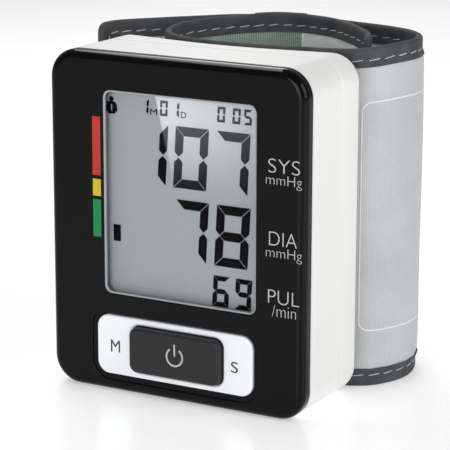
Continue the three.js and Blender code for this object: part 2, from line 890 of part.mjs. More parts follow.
function batteryTray() {
  const middle = caseHeight / 2;
  const [inner, outer] = [trayInner / 2, trayInner / 2 + trayWall];
  const shell = box(
    [trayLeft, trayRight + trayWall],
    [cellFront, trayFloor + trayWall],
    [middle - outer, middle + outer],
  );
  const room = box(
    [trayLeft - overrun, trayRight],
    [cellFront - overrun, trayFloor],
    [middle - inner, middle + inner],
  );
  return shell.subtract(room);
}

// A conical coil spring that stands on a plate and points along +Z.
function coilSpring() {
  const turnSteps = 8;
  const wireSides = 5;
  const steps = Math.round(springTurns * turnSteps);
  const rings = [];
  for (let step = 0; step <= steps; step++) {
    const along = step / steps;
    const angle = along * springTurns * 2 * Math.PI;
    const radius = THREE.MathUtils.lerp(springFootRadius, springTipRadius, along);
    const height = springWire / 2 + along * (springLength - springWire);
    const ring = [];
    for (let side = 0; side < wireSides; side++) {
      const round = (side / wireSides) * 2 * Math.PI;
      const reach = radius + (springWire / 2) * Math.cos(round);
      const rise = height + (springWire / 2) * Math.sin(round);
      ring.push([reach * Math.cos(angle), reach * Math.sin(angle), rise]);
    }
    rings.push(ring);
  }
  const capTriangles = [];
  for (let side = 1; side + 1 < wireSides; side++) {
    capTriangles.push([0, side, side + 1]);
  }
  return toGeometry(loft(rings, capTriangles));
}

// up is 1 for a contact on the lower end wall and -1 for one on the upper end wall.
function springOnPlate(x, foot, up) {
  const spring = coilSpring();
  if (up < 0) {
    spring.rotateX(Math.PI);
  }
  const sunk = foot - up * (springWire / 4);
  spring.translate(x, cellY, sunk);
  return toSolid(spring);
}

function contactPlate([x0, x1], foot, up) {
  const ends = [foot - up * contactThickness, foot].sort((a, b) => a - b);
  const half = contactWidth / 2;
  return box([x0, x1], [cellY - half, cellY + half], ends);
}

// A solder tab from a contact forward to the board.
function solderTab(x, foot, up) {
  const ends = [foot - up * contactThickness, foot].sort((a, b) => a - b);
  const half = contactWidth / 8;
  return box([x - half, x + half], [boardBack + runGap, cellY], ends);
}

function batteries(group) {
  const middle = caseHeight / 2;
  const lowerFoot = middle - trayInner / 2 + fitGap + contactThickness;
  const upperFoot = middle + trayInner / 2 - fitGap - contactThickness;
  const half = contactWidth / 2;
  const farX = cellX + cellPitch;
  addPart(group, "battery_tray", batteryTray(), finishes.innerPlastic);
  addPart(group, "battery_1", batteryCell(), finishes.cell, [cellX, cellY, middle + springLength / 2]);
  const second = toGeometry(batteryCell());
  second.rotateX(Math.PI);
  addPart(group, "battery_2", second, finishes.cell, [farX, cellY, middle - springLength / 2]);
  const springContact = join([
    contactPlate([cellX - half, cellX + half], lowerFoot, 1),
    solderTab(cellX, lowerFoot, 1),
    springOnPlate(cellX, lowerFoot, 1),
  ]);
  addPart(group, "spring_contact", springContact, finishes.steel);
  const plateContact = join([
    contactPlate([farX - half, farX + half], lowerFoot, 1),
    solderTab(farX, lowerFoot, 1),
  ]);
  addPart(group, "plate_contact", plateContact, finishes.steel);
  const bridge = join([
    contactPlate([cellX - half, farX + half], upperFoot, -1),
    springOnPlate(farX, upperFoot, -1),
  ]);
  addPart(group, "bridge_contact", bridge, finishes.steel);
}

function batteryDoor() {
  const outer = -caseWidth / 2;
  const foot = doorBottom + doorGap;
  const top = doorTop - doorGap;
  const [front, back] = [doorFront + doorGap, seamBack - seamGap / 2 - doorGap];
  const panel = box([outer, outer + caseWall], [front, back], [foot, top]);
  const middle = (front + back) / 2;
  const ribHalf = (back - front) / 2 - 2 * doorRibWidth;
  const ribs = [];
  for (let rib = 0; rib < doorRibs; rib++) {
    const z = top - doorFingerRadius - rib * doorRibPitch;
    const depth = [outer - doorRibHeight, outer + caseWall / 2];
    ribs.push(box(depth, [middle - ribHalf, middle + ribHalf], [z, z + doorRibWidth]));
  }
  const tabSpread = (back - front - doorTabWidth) / 2 - doorTabMargin;
  const tabs = [-tabSpread, tabSpread].flatMap((shift) => {
    const across = [middle + shift - doorTabWidth / 2, middle + shift + doorTabWidth / 2];
    const inner = outer + caseWall + runGap + doorTabThickness;
    return [
      box([outer + caseWall / 2, inner], across, [foot + doorGap, foot + doorTabLength]),
      box([inner - doorTabThickness, inner], across, [foot - doorTabDrop, foot + doorTabLength]),
    ];
  });
  return join([panel, ...ribs, ...tabs]);
}

// Air side

function pumpMotor() {
  return turned("z", [airX, airY, motorFoot], [
    [shaftRadius + runGap, 0],
    [motorRadius - motorWall, 0],
    [motorRadius, motorWall],
    [motorRadius, motorLength],
    [motorRadius - motorWall, motorLength],
    [motorRadius - motorWall, motorWall],
    [shaftRadius + runGap, motorWall],
    [shaftRadius + runGap, 0],
  ]);
}

function pumpRotor() {
  const foot = motorFoot + rotorInset;
  const length = motorLength - 2 * rotorInset;
  const shaftFoot = motorFoot - rotorInset / 2;
  const shaftLength = motorTop + shaftSeat - shaftFoot;
  const shaft = rod("z", [airX, airY, shaftFoot], shaftLength, shaftRadius, smallSides);
  const core = rod("z", [airX, airY, foot], length, rotorCore, smallSides);
  const round = rod("z", [airX, airY, foot], length, rotorRadius, largeSides);
  const poles = [0, 1, 2].map((pole) => {
    const blade = new THREE.BoxGeometry(rotorRadius, rotorPoleWidth, length);
    blade.translate(rotorRadius / 2, 0, foot + length / 2);
    blade.rotateZ((pole * 2 * Math.PI) / 3);
    blade.translate(airX, airY, 0);
    return toSolid(blade);
  });
  return join([shaft, core, join(poles).intersect(round)]);
}

function pumpHead() {
  const groove = motorRadius - pumpGroove;
  const third = pumpHeadLength / 3;
  const rings = [1, 2].flatMap((ring) => [
    [motorRadius, ring * third - pumpGroove],
    [groove, ring * third - pumpGroove / 2],
    [groove, ring * third + pumpGroove / 2],
    [motorRadius, ring * third + pumpGroove],
  ]);
  const body = turned("z", [airX, airY, pumpHeadFoot], [
    [0, 0],
    [motorRadius, 0],
    ...rings,
    [motorRadius, pumpHeadLength],
    [nozzleRadius, pumpHeadLength],
    [nozzleRadius, pumpHeadLength + nozzleLength],
    [0, pumpHeadLength + nozzleLength],
  ]);
  const seatDepth = shaftSeat + overrun + runGap;
  const seatFoot = [airX, airY, pumpHeadFoot - overrun];
  const seat = rod("z", seatFoot, seatDepth, shaftRadius + runGap, smallSides);
  const boreLength = third + nozzleLength + overrun;
  const bore = rod("z", [airX, airY, pumpHeadTop - third], boreLength, nozzleBore, boreSides);
  return cut(body, [seat, bore]);
}

function valveBody() {
  const body = turned("z", [airX, airY, valveFoot - nozzleLength], [
    [0, 0],
    [nozzleRadius, 0],
    [nozzleRadius, nozzleLength],
    [valveRadius, nozzleLength],
    [valveRadius, nozzleLength + valveLength],
    [0, nozzleLength + valveLength],
  ]);
  const inletFoot = valveFoot - nozzleLength - overrun;
  const inlet = rod("z", [airX, airY, inletFoot], nozzleLength + 2 * overrun, nozzleBore, boreSides);
  const bore = rod("z", [airX, airY, valveFoot + valveChamber], valveLength, plungerRadius + runGap);
  return cut(body, [inlet, bore]);
}

function valvePlunger() {
  const foot = valveFoot + valveChamber + valveTravel + runGap;
  const stem = valveTop + valveTravel + runGap - foot;
  return turned("z", [airX, airY, foot], [
    [0, 0],
    [plungerRadius, 0],
    [plungerRadius, stem],
    [plungerHeadRadius, stem],
    [plungerHeadRadius, stem + plungerHeadThickness],
    [0, stem + plungerHeadThickness],
  ]);
}

function airManifold() {
  const half = manifoldSize / 2;
  const reach = half + nozzleLength;
  const legs = [
    rod("z", [airX, airY, manifoldZ - reach], 2 * reach, nozzleRadius),
    rod("x", [airX - reach, airY, manifoldZ], reach, nozzleRadius),
    rod("y", [airX, airY, manifoldZ], half + cuffLegLength, nozzleRadius),
  ];
  const hub = box(
    [airX - half, airX + half],
    [airY - half, airY + half],
    [manifoldZ - half, manifoldZ + half],
  );
  const open = reach + overrun;
  const bores = [
    rod("z", [airX, airY, manifoldZ - open], 2 * open, nozzleBore, boreSides),
    rod("x", [airX - open, airY, manifoldZ], open, nozzleBore, boreSides),
    rod("y", [airX, airY, manifoldZ], open, nozzleBore, boreSides),
  ];
  return cut(join([hub, ...legs]), bores);
}

function straightHose(axis, at, length) {
  const profile = [
    [hoseRadius, 0],
    [hoseRadius, length],
  ];
  return turnedTube(axis, at, profile, hoseBore);
}

// A hose with its bore along a route of [x, y] points at the manifold's height.
function bentHose(route, steps) {
  const points = route.map(([x, y]) => new THREE.Vector3(x, y, manifoldZ));
  const section = new THREE.Shape().absarc(0, 0, hoseRadius, 0, 2 * Math.PI);
  section.holes.push(new THREE.Path().absarc(0, 0, hoseBore, 0, 2 * Math.PI, true));
  const extrudePath = new THREE.CatmullRomCurve3(points, false, "centripetal");
  const options = { steps, curveSegments: 4, bevelEnabled: false, extrudePath };
  return toSolid(new THREE.ExtrudeGeometry(section, options));
}

// The sensor hose rises off the board and turns towards the manifold.
function sensorHose() {
  const start = boardBack + solderGap + sensorHeight + runGap;
  const bend = sensorHoseBend;
  const short = bend * (1 - Math.SQRT1_2);
  const route = [
    [sensorX, start],
    [sensorX, airY - bend],
    [sensorX + short, airY - short],
    [sensorX + bend, airY],
    [airX - manifoldSize / 2 - runGap, airY],
  ];
  return bentHose(route, 9);
}

// The cuff hose leads from the manifold to the nozzle of the cuff port, which follows the hollow back.
function cuffHose() {
  const { point, normal } = portPlace();
  const onPort = (offset) => [point.x + offset * normal.x, point.y + offset * normal.y];
  const hub = airY + manifoldSize / 2;
  const route = [
    [airX, hub + runGap],
    [airX, hub + cuffLegLength],
    onPort(bossTip + portReach),
    onPort(bossTip + hoseEndGap),
  ];
  return bentHose(route, 4);
}

function air(group) {
  addPart(group, "pump_motor", pumpMotor(), finishes.steel);
  addPart(group, "pump_rotor", pumpRotor(), finishes.steel);
  addPart(group, "pump_head", pumpHead(), finishes.innerPlastic);
  addPart(group, "valve_body", valveBody(), finishes.innerPlastic);
  addPart(group, "valve_plunger", valvePlunger(), finishes.steel);
  addPart(group, "air_manifold", airManifold(), finishes.innerPlastic);
  const hoseLength = 2 * nozzleLength + fitGap - 2 * runGap;
  const lower = pumpHeadTop + runGap;
  addPart(group, "hose_pump", straightHose("z", [airX, airY, lower], hoseLength), finishes.hose);
  const upper = manifoldZ + manifoldSize / 2 + runGap;
  addPart(group, "hose_valve", straightHose("z", [airX, airY, upper], hoseLength), finishes.hose);
  addPart(group, "hose_sensor", sensorHose(), finishes.hose);
  addPart(group, "hose_cuff", cuffHose(), finishes.hose);
}

// Cuff

// The middle line of the band as shares: X of the cuff's span, Y of its reach behind the case and the
// height of the band's upper edge as a share of the cuff's height. It runs from the inner end over the
// far side, round the left bend and along the back of the case, and out round the right side.
const innerShares = [
  [0.369, 0.255, 1.006],
  [0.336, 0.405, 1.011],
  [0.254, 0.572, 1.016],
  [0.167, 0.722, 1.016],
  [0.095, 0.792, 1.016],
  [0.018, 0.817, 1.016],
  [-0.06, 0.782, 1.016],
  [-0.143, 0.662, 1.012],
  [-0.23, 0.487, 1.005],
  [-0.274, 0.292, 0.998],
  [-0.26, 0.122, 0.991],
  [-0.208, 0.032, 0.986],
];
const nearShares = [-0.13, 0, 0.13, 0.26, 0.37];
const nearTopShare = 0.985;
const bulgeShares = [
  [0.375, 0.068, 0.988],
  [0.425, 0.135, 0.993],
  [0.458, 0.245, 0.999],
  [0.477, 0.372, 1.001],
  [0.474, 0.492, 1.001],
  [0.452, 0.622, 1.002],
  [0.406, 0.707, 1.004],
  [0.351, 0.765, 1.004],
  [0.286, 0.807, 1.004],
  [0.202, 0.845, 1.004],
];
const wrapTopShare = 1.004;
const tailShares = [
  [-0.19, 0.765, 1.004],
  [-0.277, 0.6, 1.003],
  [-0.386, 0.365, 1.002],
  [-0.464, 0.192, 1],
  [-0.481, 0.037, 0.998],
];
const hingeShare = 0.66;
const wrapFirst = 4;
const wrapLast = 6;
const wrapStep = 0.5;

function bandPoint([x, y, top]) {
  return new THREE.Vector3(x * cuffSpan, backSide + y * cuffReach, top * cuffHeight);
}

function outward(tangent) {
  return new THREE.Vector3(tangent.y, -tangent.x, 0).normalize();
}

function bandCurve() {
  const inner = innerShares.map(bandPoint);
  const near = nearShares.map((share) => {
    const x = share * caseWidth;
    return new THREE.Vector3(x, backAt(x) + cuffGap + bindingOuter, nearTopShare * cuffHeight);
  });
  const innerCurve = new THREE.CatmullRomCurve3(inner, false, "centripetal");
  const wrap = Array.from({ length: (wrapLast - wrapFirst) / wrapStep + 1 }, (_, k) => {
    const share = (wrapFirst + k * wrapStep) / (inner.length - 1);
    const point = innerCurve.getPoint(share);
    point.addScaledVector(outward(innerCurve.getTangent(share)), wrapPitch);
    point.z = wrapTopShare * cuffHeight;
    return point;
  });
  const points = [...inner, ...near, ...bulgeShares.map(bandPoint), ...wrap, ...tailShares.map(bandPoint)];
  const curve = new THREE.CatmullRomCurve3(points, false, "centripetal");
  curve.arcLengthDivisions = points.length * 60;
  return curve;
}

const band = bandCurve();
const bandLength = band.getLength();

// One place on the band: its point, its outward normal, and the band's upper and lower edge there.
function station(distance, ends) {
  const share = distance / bandLength;
  const point = band.getPointAt(share);
  const normal = outward(band.getTangentAt(share));
  const nearest = Math.min(...ends.map((end) => Math.abs(distance - end)), bandCornerRadius);
  const rest = bandCornerRadius - nearest;
  const drop = bandCornerRadius - Math.sqrt(bandCornerRadius ** 2 - rest ** 2);
  const foot = Math.max(0, point.z - cuffHeight);
  return { distance, point, normal, top: point.z - drop, foot: foot + drop };
}

// Distance along the band of the fold that the tail swings on: where the far right shoulder begins.
function distanceWhere(test) {
  const probes = 2000;
  for (let k = 0; k <= probes; k++) {
    const distance = (bandLength * k) / probes;
    if (test(band.getPointAt(k / probes), distance)) {
      return distance;
    }
  }
  return bandLength;
}

const hingeY = backSide + hingeShare * cuffReach;
const hingeDistance = distanceWhere(
  (point, distance) => distance > bandLength / 3 && point.x > 0 && point.y > hingeY,
);

// Distances of the stations of one piece of band, closer together at its rounded ends.
function stationList(from, to, steps, roundEnds) {
  const list = [];
  for (let step = 0; step <= steps; step++) {
    list.push(from + ((to - from) * step) / steps);
  }
  for (const end of roundEnds) {
    const inwards = Math.sign((from + to) / 2 - end);
    for (let k = 1; k < cornerStations; k++) {
      const angle = (k / cornerStations) * (Math.PI / 2);
      list.push(end + inwards * bandCornerRadius * (1 - Math.cos(angle)));
    }
  }
  const tapeEdges = roundEnds.map((end) => end + Math.sign((from + to) / 2 - end) * bindingReach);
  const kept = list.filter((distance) =>
    tapeEdges.every((edge) => Math.abs(distance - edge) > bindingTopGap),
  );
  const sorted = [...kept, ...tapeEdges].sort((a, b) => a - b);
  return sorted.filter((distance, k) => k === 0 || distance - sorted[k - 1] > bindingTopGap / 2);
}

const rootEnd = hingeDistance - tailHingeGap / 2;
const tailStart = hingeDistance + tailHingeGap / 2;
const rootList = stationList(0, rootEnd, rootSteps, [0]);
const tailList = stationList(tailStart, bandLength, tailSteps, [bandLength]);

// The stations between two distances, with both ends added.
function between(list, from, to) {
  const inside = list.filter((d) => d > from + bindingTopGap && d < to - bindingTopGap);
  return [from, ...inside, to];
}

// Sweeps a section along the band. The section gives [offset, z] points for each station.
function sweep(distances, ends, section) {
  const stations = distances.map((distance) => station(distance, ends));
  const sections = stations.map(section);
  const rings = stations.map(({ point, normal }, k) =>
    sections[k].map(([offset, z]) => [point.x + offset * normal.x, point.y + offset * normal.y, z]),
  );
  return loft(rings, capOf(sections[0]));
}

function sheet(distances, ends, inner, outer, inset) {
  return sweep(distances, ends, ({ top, foot }) => [
    [inner, foot + inset],
    [outer, foot + inset],
    [outer, top - inset],
    [inner, top - inset],
  ]);
}

const edgeInset = bindingThickness + bindingTopGap;

// A folded tape along the upper (side 1) or lower (side -1) edge.
function edgeBinding(distances, ends, side) {
  return sweep(distances, ends, ({ top, foot }) => {
    const edge = side > 0 ? top : foot;
    const legs = edge - side * bindingReach;
    const crown = edge - side * bindingThickness;
    return [
      [-bindingOuter, legs],
      [-bindingInner, legs],
      [-bindingInner, crown],
      [bindingInner, crown],
      [bindingInner, legs],
      [bindingOuter, legs],
      [bindingOuter, crown],
      [bindingInner, edge],
      [-bindingInner, edge],
      [-bindingOuter, crown],
    ];
  });
}

// A folded tape up the end of the band, between the two edge tapes.
function endBinding(list, end, inwards) {
  const stations = between(
    list.map((distance) => (distance - end) * inwards).sort((a, b) => a - b),
    bindingThickness,
    bindingReach,
  ).map((reach) => station(end + inwards * reach, []));
  const tip = station(end, [end]);
  const at = ({ point, normal }, offset) => [point.x + offset * normal.x, point.y + offset * normal.y];
  const leg = (offset) => stations.map((place) => at(place, offset));
  const outside = [
    ...leg(bindingOuter).reverse(),
    at(tip, bindingInner),
    at(tip, -bindingInner),
    ...leg(-bindingOuter),
  ];
  const inside = [...leg(-bindingInner).reverse(), ...leg(bindingInner)];
  const plan = [...outside, ...inside];
  const low = tip.foot + bindingReach + bindingTopGap;
  const high = tip.top - bindingReach - bindingTopGap;
  const rings = [low, high].map((z) => plan.map(([x, y]) => [x, y, z]));
  return loft(rings, foldCap(stations.length));
}

// Triangles between the outside and the inside of a folded tape whose legs have that many points each.
function foldCap(count) {
  const triangles = [];
  const ladder = (outer, inner) => {
    for (let k = 0; k + 1 < count; k++) {
      triangles.push([outer + k, outer + k + 1, inner - k - 1], [outer + k, inner - k - 1, inner - k]);
    }
  };
  ladder(0, 4 * count + 1);
  ladder(count + 2, 3 * count + 1);
  const round = [count + 1, count + 2, 3 * count + 1, 3 * count + 2, count - 1];
  for (let k = 0; k + 1 < round.length; k++) {
    triangles.push([count, round[k], round[k + 1]]);
  }
  return triangles;
}

// Fixing spots on the near wall: where the band's middle line passes a given X beside the case.
function nearSpot(x, z, radius) {
  const distance = distanceWhere(
    (point, d) => d > bandLength / 5 && point.y < backSide + bindingReach && point.x > x,
  );
  const { point, normal } = station(distance, []);
  return { point, normal, z, radius };
}

function rivetPlaces() {
  return [-1, 1].flatMap((side) =>
    [-1, 1].map((level) =>
      nearSpot(
        rivetX + (side * rivetSpacingX) / 2,
        caseHeight / 2 + (level * rivetSpacingZ) / 2,
        rivetShankRadius,
      ),
    ),
  );
}

function portPlace() {
  return nearSpot(airX, manifoldZ, portRadius);
}

// Angle about Z that turns the local +Y axis onto the inward direction of the band.
function spotTurn({ normal }) {
  return Math.atan2(normal.x, -normal.y);
}

// A hole along the band's normal, from one offset to another.
function holeThrough(spot, radius, from, to) {
  const geometry = new THREE.CylinderGeometry(radius, radius, to - from, holeSides);
  geometry.translate(0, -(from + to) / 2, 0);
  geometry.rotateZ(spotTurn(spot));
  geometry.translate(spot.point.x, spot.point.y, spot.z);
  return toSolid(geometry);
}

const wallOuter = bindingOuter + cuffGap;
const bossTip = wallOuter + caseWall + portBossHeight;
const headFront = stiffenerInner - (headRoom - rivetHeadThickness) / 2;

// Profiles run along the local +Y axis, which points into the wrist opening.
function rivetShape() {
  const tailEnd = -(wallOuter + caseWall + rivetTailThickness);
  const tailFoot = -(wallOuter + caseWall);
  const neck = -headFront;
  return turned("y", [0, 0, 0], [
    [0, tailEnd],
    [rivetTailRadius, tailEnd],
    [rivetTailRadius, tailFoot],
    [rivetShankRadius, tailFoot],
    [rivetShankRadius, neck],
    [rivetHeadRadius, neck],
    [rivetHeadRadius, neck + rivetHeadThickness],
    [0, neck + rivetHeadThickness],
  ]);
}

function portShape() {
  const tip = -(bossTip + portReach);
  const step = -bossTip;
  const neck = -headFront;
  return turnedTube("y", [0, 0, 0], [
    [nozzleRadius, tip],
    [nozzleRadius, step],
    [portRadius, step],
    [portRadius, neck],
    [portFlangeRadius, neck],
    [portFlangeRadius, neck + rivetHeadThickness],
  ], nozzleBore);
}

function cuff(group) {
  const ends = [0];
  const full = between(rootList, edgeInset, rootEnd);
  const inset = (by) => rootList.filter((distance) => distance > by && distance < rootEnd - by / 2);
  const spots = [...rivetPlaces(), portPlace()];
  const past = bandHalf + overrun;
  const holes = spots.map((spot) => holeThrough(spot, spot.radius + fitGap, -past, past));
  const outer = sheet(full, ends, bandHalf - fabricThickness, bandHalf, edgeInset);
  addPart(group, "outer_fabric", cut(outer, holes), finishes.greyCloth);
  const stiffener = sheet(inset(stiffenerInset), ends, stiffenerInner, stiffenerOuter, stiffenerInset);
  addPart(group, "stiffener", cut(stiffener, holes), finishes.springSheet);
  const airHole = holeThrough(portPlace(), portBore, -past, past);
  const bladder = sheet(inset(bladderInset), ends, bladderInner, bladderOuter, bladderInset);
  addPart(group, "bladder", cut(bladder, [airHole]), finishes.bladder);
  const endList = between(rootList, edgeInset, liningSeam - runGap / 2);
  const endLining = sheet(endList, ends, -bandHalf, liningOuter, edgeInset);
  addPart(group, "end_lining", endLining, finishes.paleCloth);
  const wristList = between(rootList, liningSeam + runGap / 2, rootEnd);
  const wristLining = sheet(wristList, ends, -bandHalf, liningOuter, edgeInset);
  addPart(group, "wrist_lining", wristLining, finishes.wristCloth);
  addPart(group, "binding_top", edgeBinding(rootList, ends, 1), finishes.binding);
  addPart(group, "binding_bottom", edgeBinding(rootList, ends, -1), finishes.binding);
  addPart(group, "inner_end_binding", endBinding(rootList, 0, 1), finishes.binding);
  rivetPlaces().forEach((spot, k) => {
    const at = [spot.point.x, spot.point.y, spot.z];
    addPart(group, `cuff_rivet_${k + 1}`, rivetShape(), finishes.steel, at, spotTurn(spot));
  });
  const port = portPlace();
  const portAt = [port.point.x, port.point.y, port.z];
  addPart(group, "cuff_port", portShape(), finishes.innerPlastic, portAt, spotTurn(port));
}

function tail(group) {
  const ends = [bandLength];
  const full = between(tailList, tailStart, bandLength - edgeInset);
  const coreInner = liningOuter + layerGap;
  const coreOuter = bandHalf - fabricThickness - layerGap;
  const fabric = sheet(full, ends, bandHalf - fabricThickness, bandHalf, edgeInset);
  addPart(group, "tail_fabric", fabric, finishes.greyCloth);
  const coreList = tailList.filter(
    (distance) => distance > tailStart + stiffenerInset / 2 && distance < bandLength - stiffenerInset,
  );
  const core = sheet(coreList, ends, coreInner, coreOuter, stiffenerInset);
  addPart(group, "tail_core", core, finishes.blackRubber);
  addPart(group, "tail_lining", sheet(full, ends, -bandHalf, liningOuter, edgeInset), finishes.paleCloth);
  addPart(group, "tail_binding_top", edgeBinding(tailList, ends, 1), finishes.binding);
  addPart(group, "tail_binding_bottom", edgeBinding(tailList, ends, -1), finishes.binding);
  addPart(group, "tail_end_binding", endBinding(tailList, bandLength, -1), finishes.binding);
  const hookMiddle = wrapMiddle();
  const reach = wrapPitch * 2;
  const hookList = between(tailList, hookMiddle - reach, hookMiddle + reach);
  const hookFace = -bandHalf - hookInset;
  const hook = sweep(hookList, ends, ({ top, foot }) => [
    [-wrapPitch + bandHalf + hookInset, foot + hookMargin],
    [hookFace, foot + hookMargin],
    [hookFace, top - hookMargin],
    [-wrapPitch + bandHalf + hookInset, top - hookMargin],
  ]);
  addPart(group, "hook_patch", hook, finishes.hook);
}

// Distance along the band where the tail lies on the inner end of the cuff.
function wrapMiddle() {
  const x = innerShares[5][0] * cuffSpan;
  return distanceWhere((point, distance) => distance > hingeDistance && point.x < x);
}

// Assembly

const monitor = new THREE.Group();

function subGroup() {
  const group = new THREE.Group();
  monitor.add(group);
  return group;
}

const caseGroup = subGroup();
addPart(caseGroup, "front_bezel", frontBezel(), finishes.blackGloss);
addPart(caseGroup, "mid_case", midCase(), finishes.whitePlastic);
addPart(caseGroup, "back_cover", backCover(), finishes.whitePlastic);
addPart(caseGroup, "key_plate", keyPlate(), finishes.silverPlastic);
addPart(caseGroup, "power_key", powerKey(), finishes.darkKey);
screwPlaces.forEach(([x, z], k) => {
  const length = screwHeadFoot(x) - (face + screwFloor + screwTipGap);
  const screw = turned("y", [0, 0, 0], [
    [0, -length],
    [screwShankRadius, -length],
    [screwShankRadius, 0],
    [screwHeadRadius, 0],
    [screwHeadRadius, screwHeadThickness],
    [0, screwHeadThickness],
  ]);
  const at = [x, screwHeadFoot(x) + fitGap, z];
  addPart(caseGroup, `case_screw_${k + 1}`, screw, finishes.steel, at);
});
display(subGroup());
electronics(subGroup());
const batteryGroup = subGroup();
batteries(batteryGroup);
addPart(batteryGroup, "battery_door", batteryDoor(), finishes.whitePlastic);
air(subGroup());
cuff(subGroup());
tail(subGroup());

export default monitor;
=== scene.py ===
"""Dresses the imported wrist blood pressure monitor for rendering.

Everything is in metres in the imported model's frame: +X right, +Y away from the viewer, +Z up, with the
origin in the middle of the case's lower face. Each sub-assembly is a class that builds its meshes as
numpy grids, and each finish is a small frozen dataclass that makes its own procedural material. Sizes in
the classes are in millimetres.
"""
import logging
import math
from collections.abc import Callable, Iterator, Sequence
from contextlib import contextmanager
from dataclasses import dataclass, field, replace
from enum import Enum
import bmesh
import bpy
import numpy as np
from mathutils import Matrix, Vector
from mathutils.geometry import delaunay_2d_cdt


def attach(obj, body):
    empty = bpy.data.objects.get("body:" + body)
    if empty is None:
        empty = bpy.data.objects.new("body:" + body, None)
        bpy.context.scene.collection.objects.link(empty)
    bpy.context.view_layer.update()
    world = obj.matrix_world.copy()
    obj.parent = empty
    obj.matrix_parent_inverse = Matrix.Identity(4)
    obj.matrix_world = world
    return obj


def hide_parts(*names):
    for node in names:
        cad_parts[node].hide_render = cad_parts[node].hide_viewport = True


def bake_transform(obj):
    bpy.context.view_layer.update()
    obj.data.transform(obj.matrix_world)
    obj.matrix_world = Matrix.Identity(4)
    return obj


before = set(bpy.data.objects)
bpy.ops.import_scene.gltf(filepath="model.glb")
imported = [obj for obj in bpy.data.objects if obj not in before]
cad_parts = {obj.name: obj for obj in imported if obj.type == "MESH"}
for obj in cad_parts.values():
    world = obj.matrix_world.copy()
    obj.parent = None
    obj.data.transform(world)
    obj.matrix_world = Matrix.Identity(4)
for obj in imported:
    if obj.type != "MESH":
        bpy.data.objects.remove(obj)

log = logging.getLogger("monitor")
MM = 0.001
PURE_WHITE = "ffffff"
# Millimetres within which two places count as one.
SAME = 0.001


# Colour and node tools

def linear(code: str) -> tuple[float, float, float, float]:
    """Turns an sRGB hex code into linear RGBA.

    Args:
        code: six hex digits.

    Returns:
        The linear colour with alpha 1. Values up to 0.04045 are divided by 12.92, the rest follow the
        2.4 power curve.
    """
    parts = np.array([int(code[i:i + 2], 16) / 255 for i in (0, 2, 4)])
    flat = np.where(parts <= 0.04045, parts / 12.92, ((parts + 0.055) / 1.055) ** 2.4)
    return (*flat.tolist(), 1.0)


def add(tree: bpy.types.NodeTree, kind: str, inputs: dict | None = None, **settings) -> bpy.types.Node:
    """Adds one node with its settings and links.

    Args:
        tree: the material's node tree.
        kind: Blender's name of the node type.
        inputs: socket name or number to a value, or to the output socket that feeds it.
        **settings: attributes of the node.

    Returns:
        The new node.
    """
    node = tree.nodes.new(kind)
    for key, value in settings.items():
        setattr(node, key, value)
    for key, value in (inputs or {}).items():
        if isinstance(value, bpy.types.NodeSocket):
            tree.links.new(value, node.inputs[key])
        else:
            node.inputs[key].default_value = value
    return node


def ramp(
    tree: bpy.types.NodeTree, factor: bpy.types.NodeSocket, stops: Sequence[tuple[float, str]],
) -> bpy.types.NodeSocket:
    """Adds a colour ramp.

    Args:
        tree: the material's node tree.
        factor: the socket that is looked up.
        stops: pairs of place and hex colour, at least two.

    Returns:
        The ramp's colour socket.
    """
    node = add(tree, "ShaderNodeValToRGB", {"Fac": factor})
    bar = node.color_ramp.elements
    while len(bar) < len(stops):
        bar.new(0.5)
    for element, (place, code) in zip(bar, stops):
        element.position = place
        element.color = linear(code)
    return node.outputs["Color"]


# Finishes

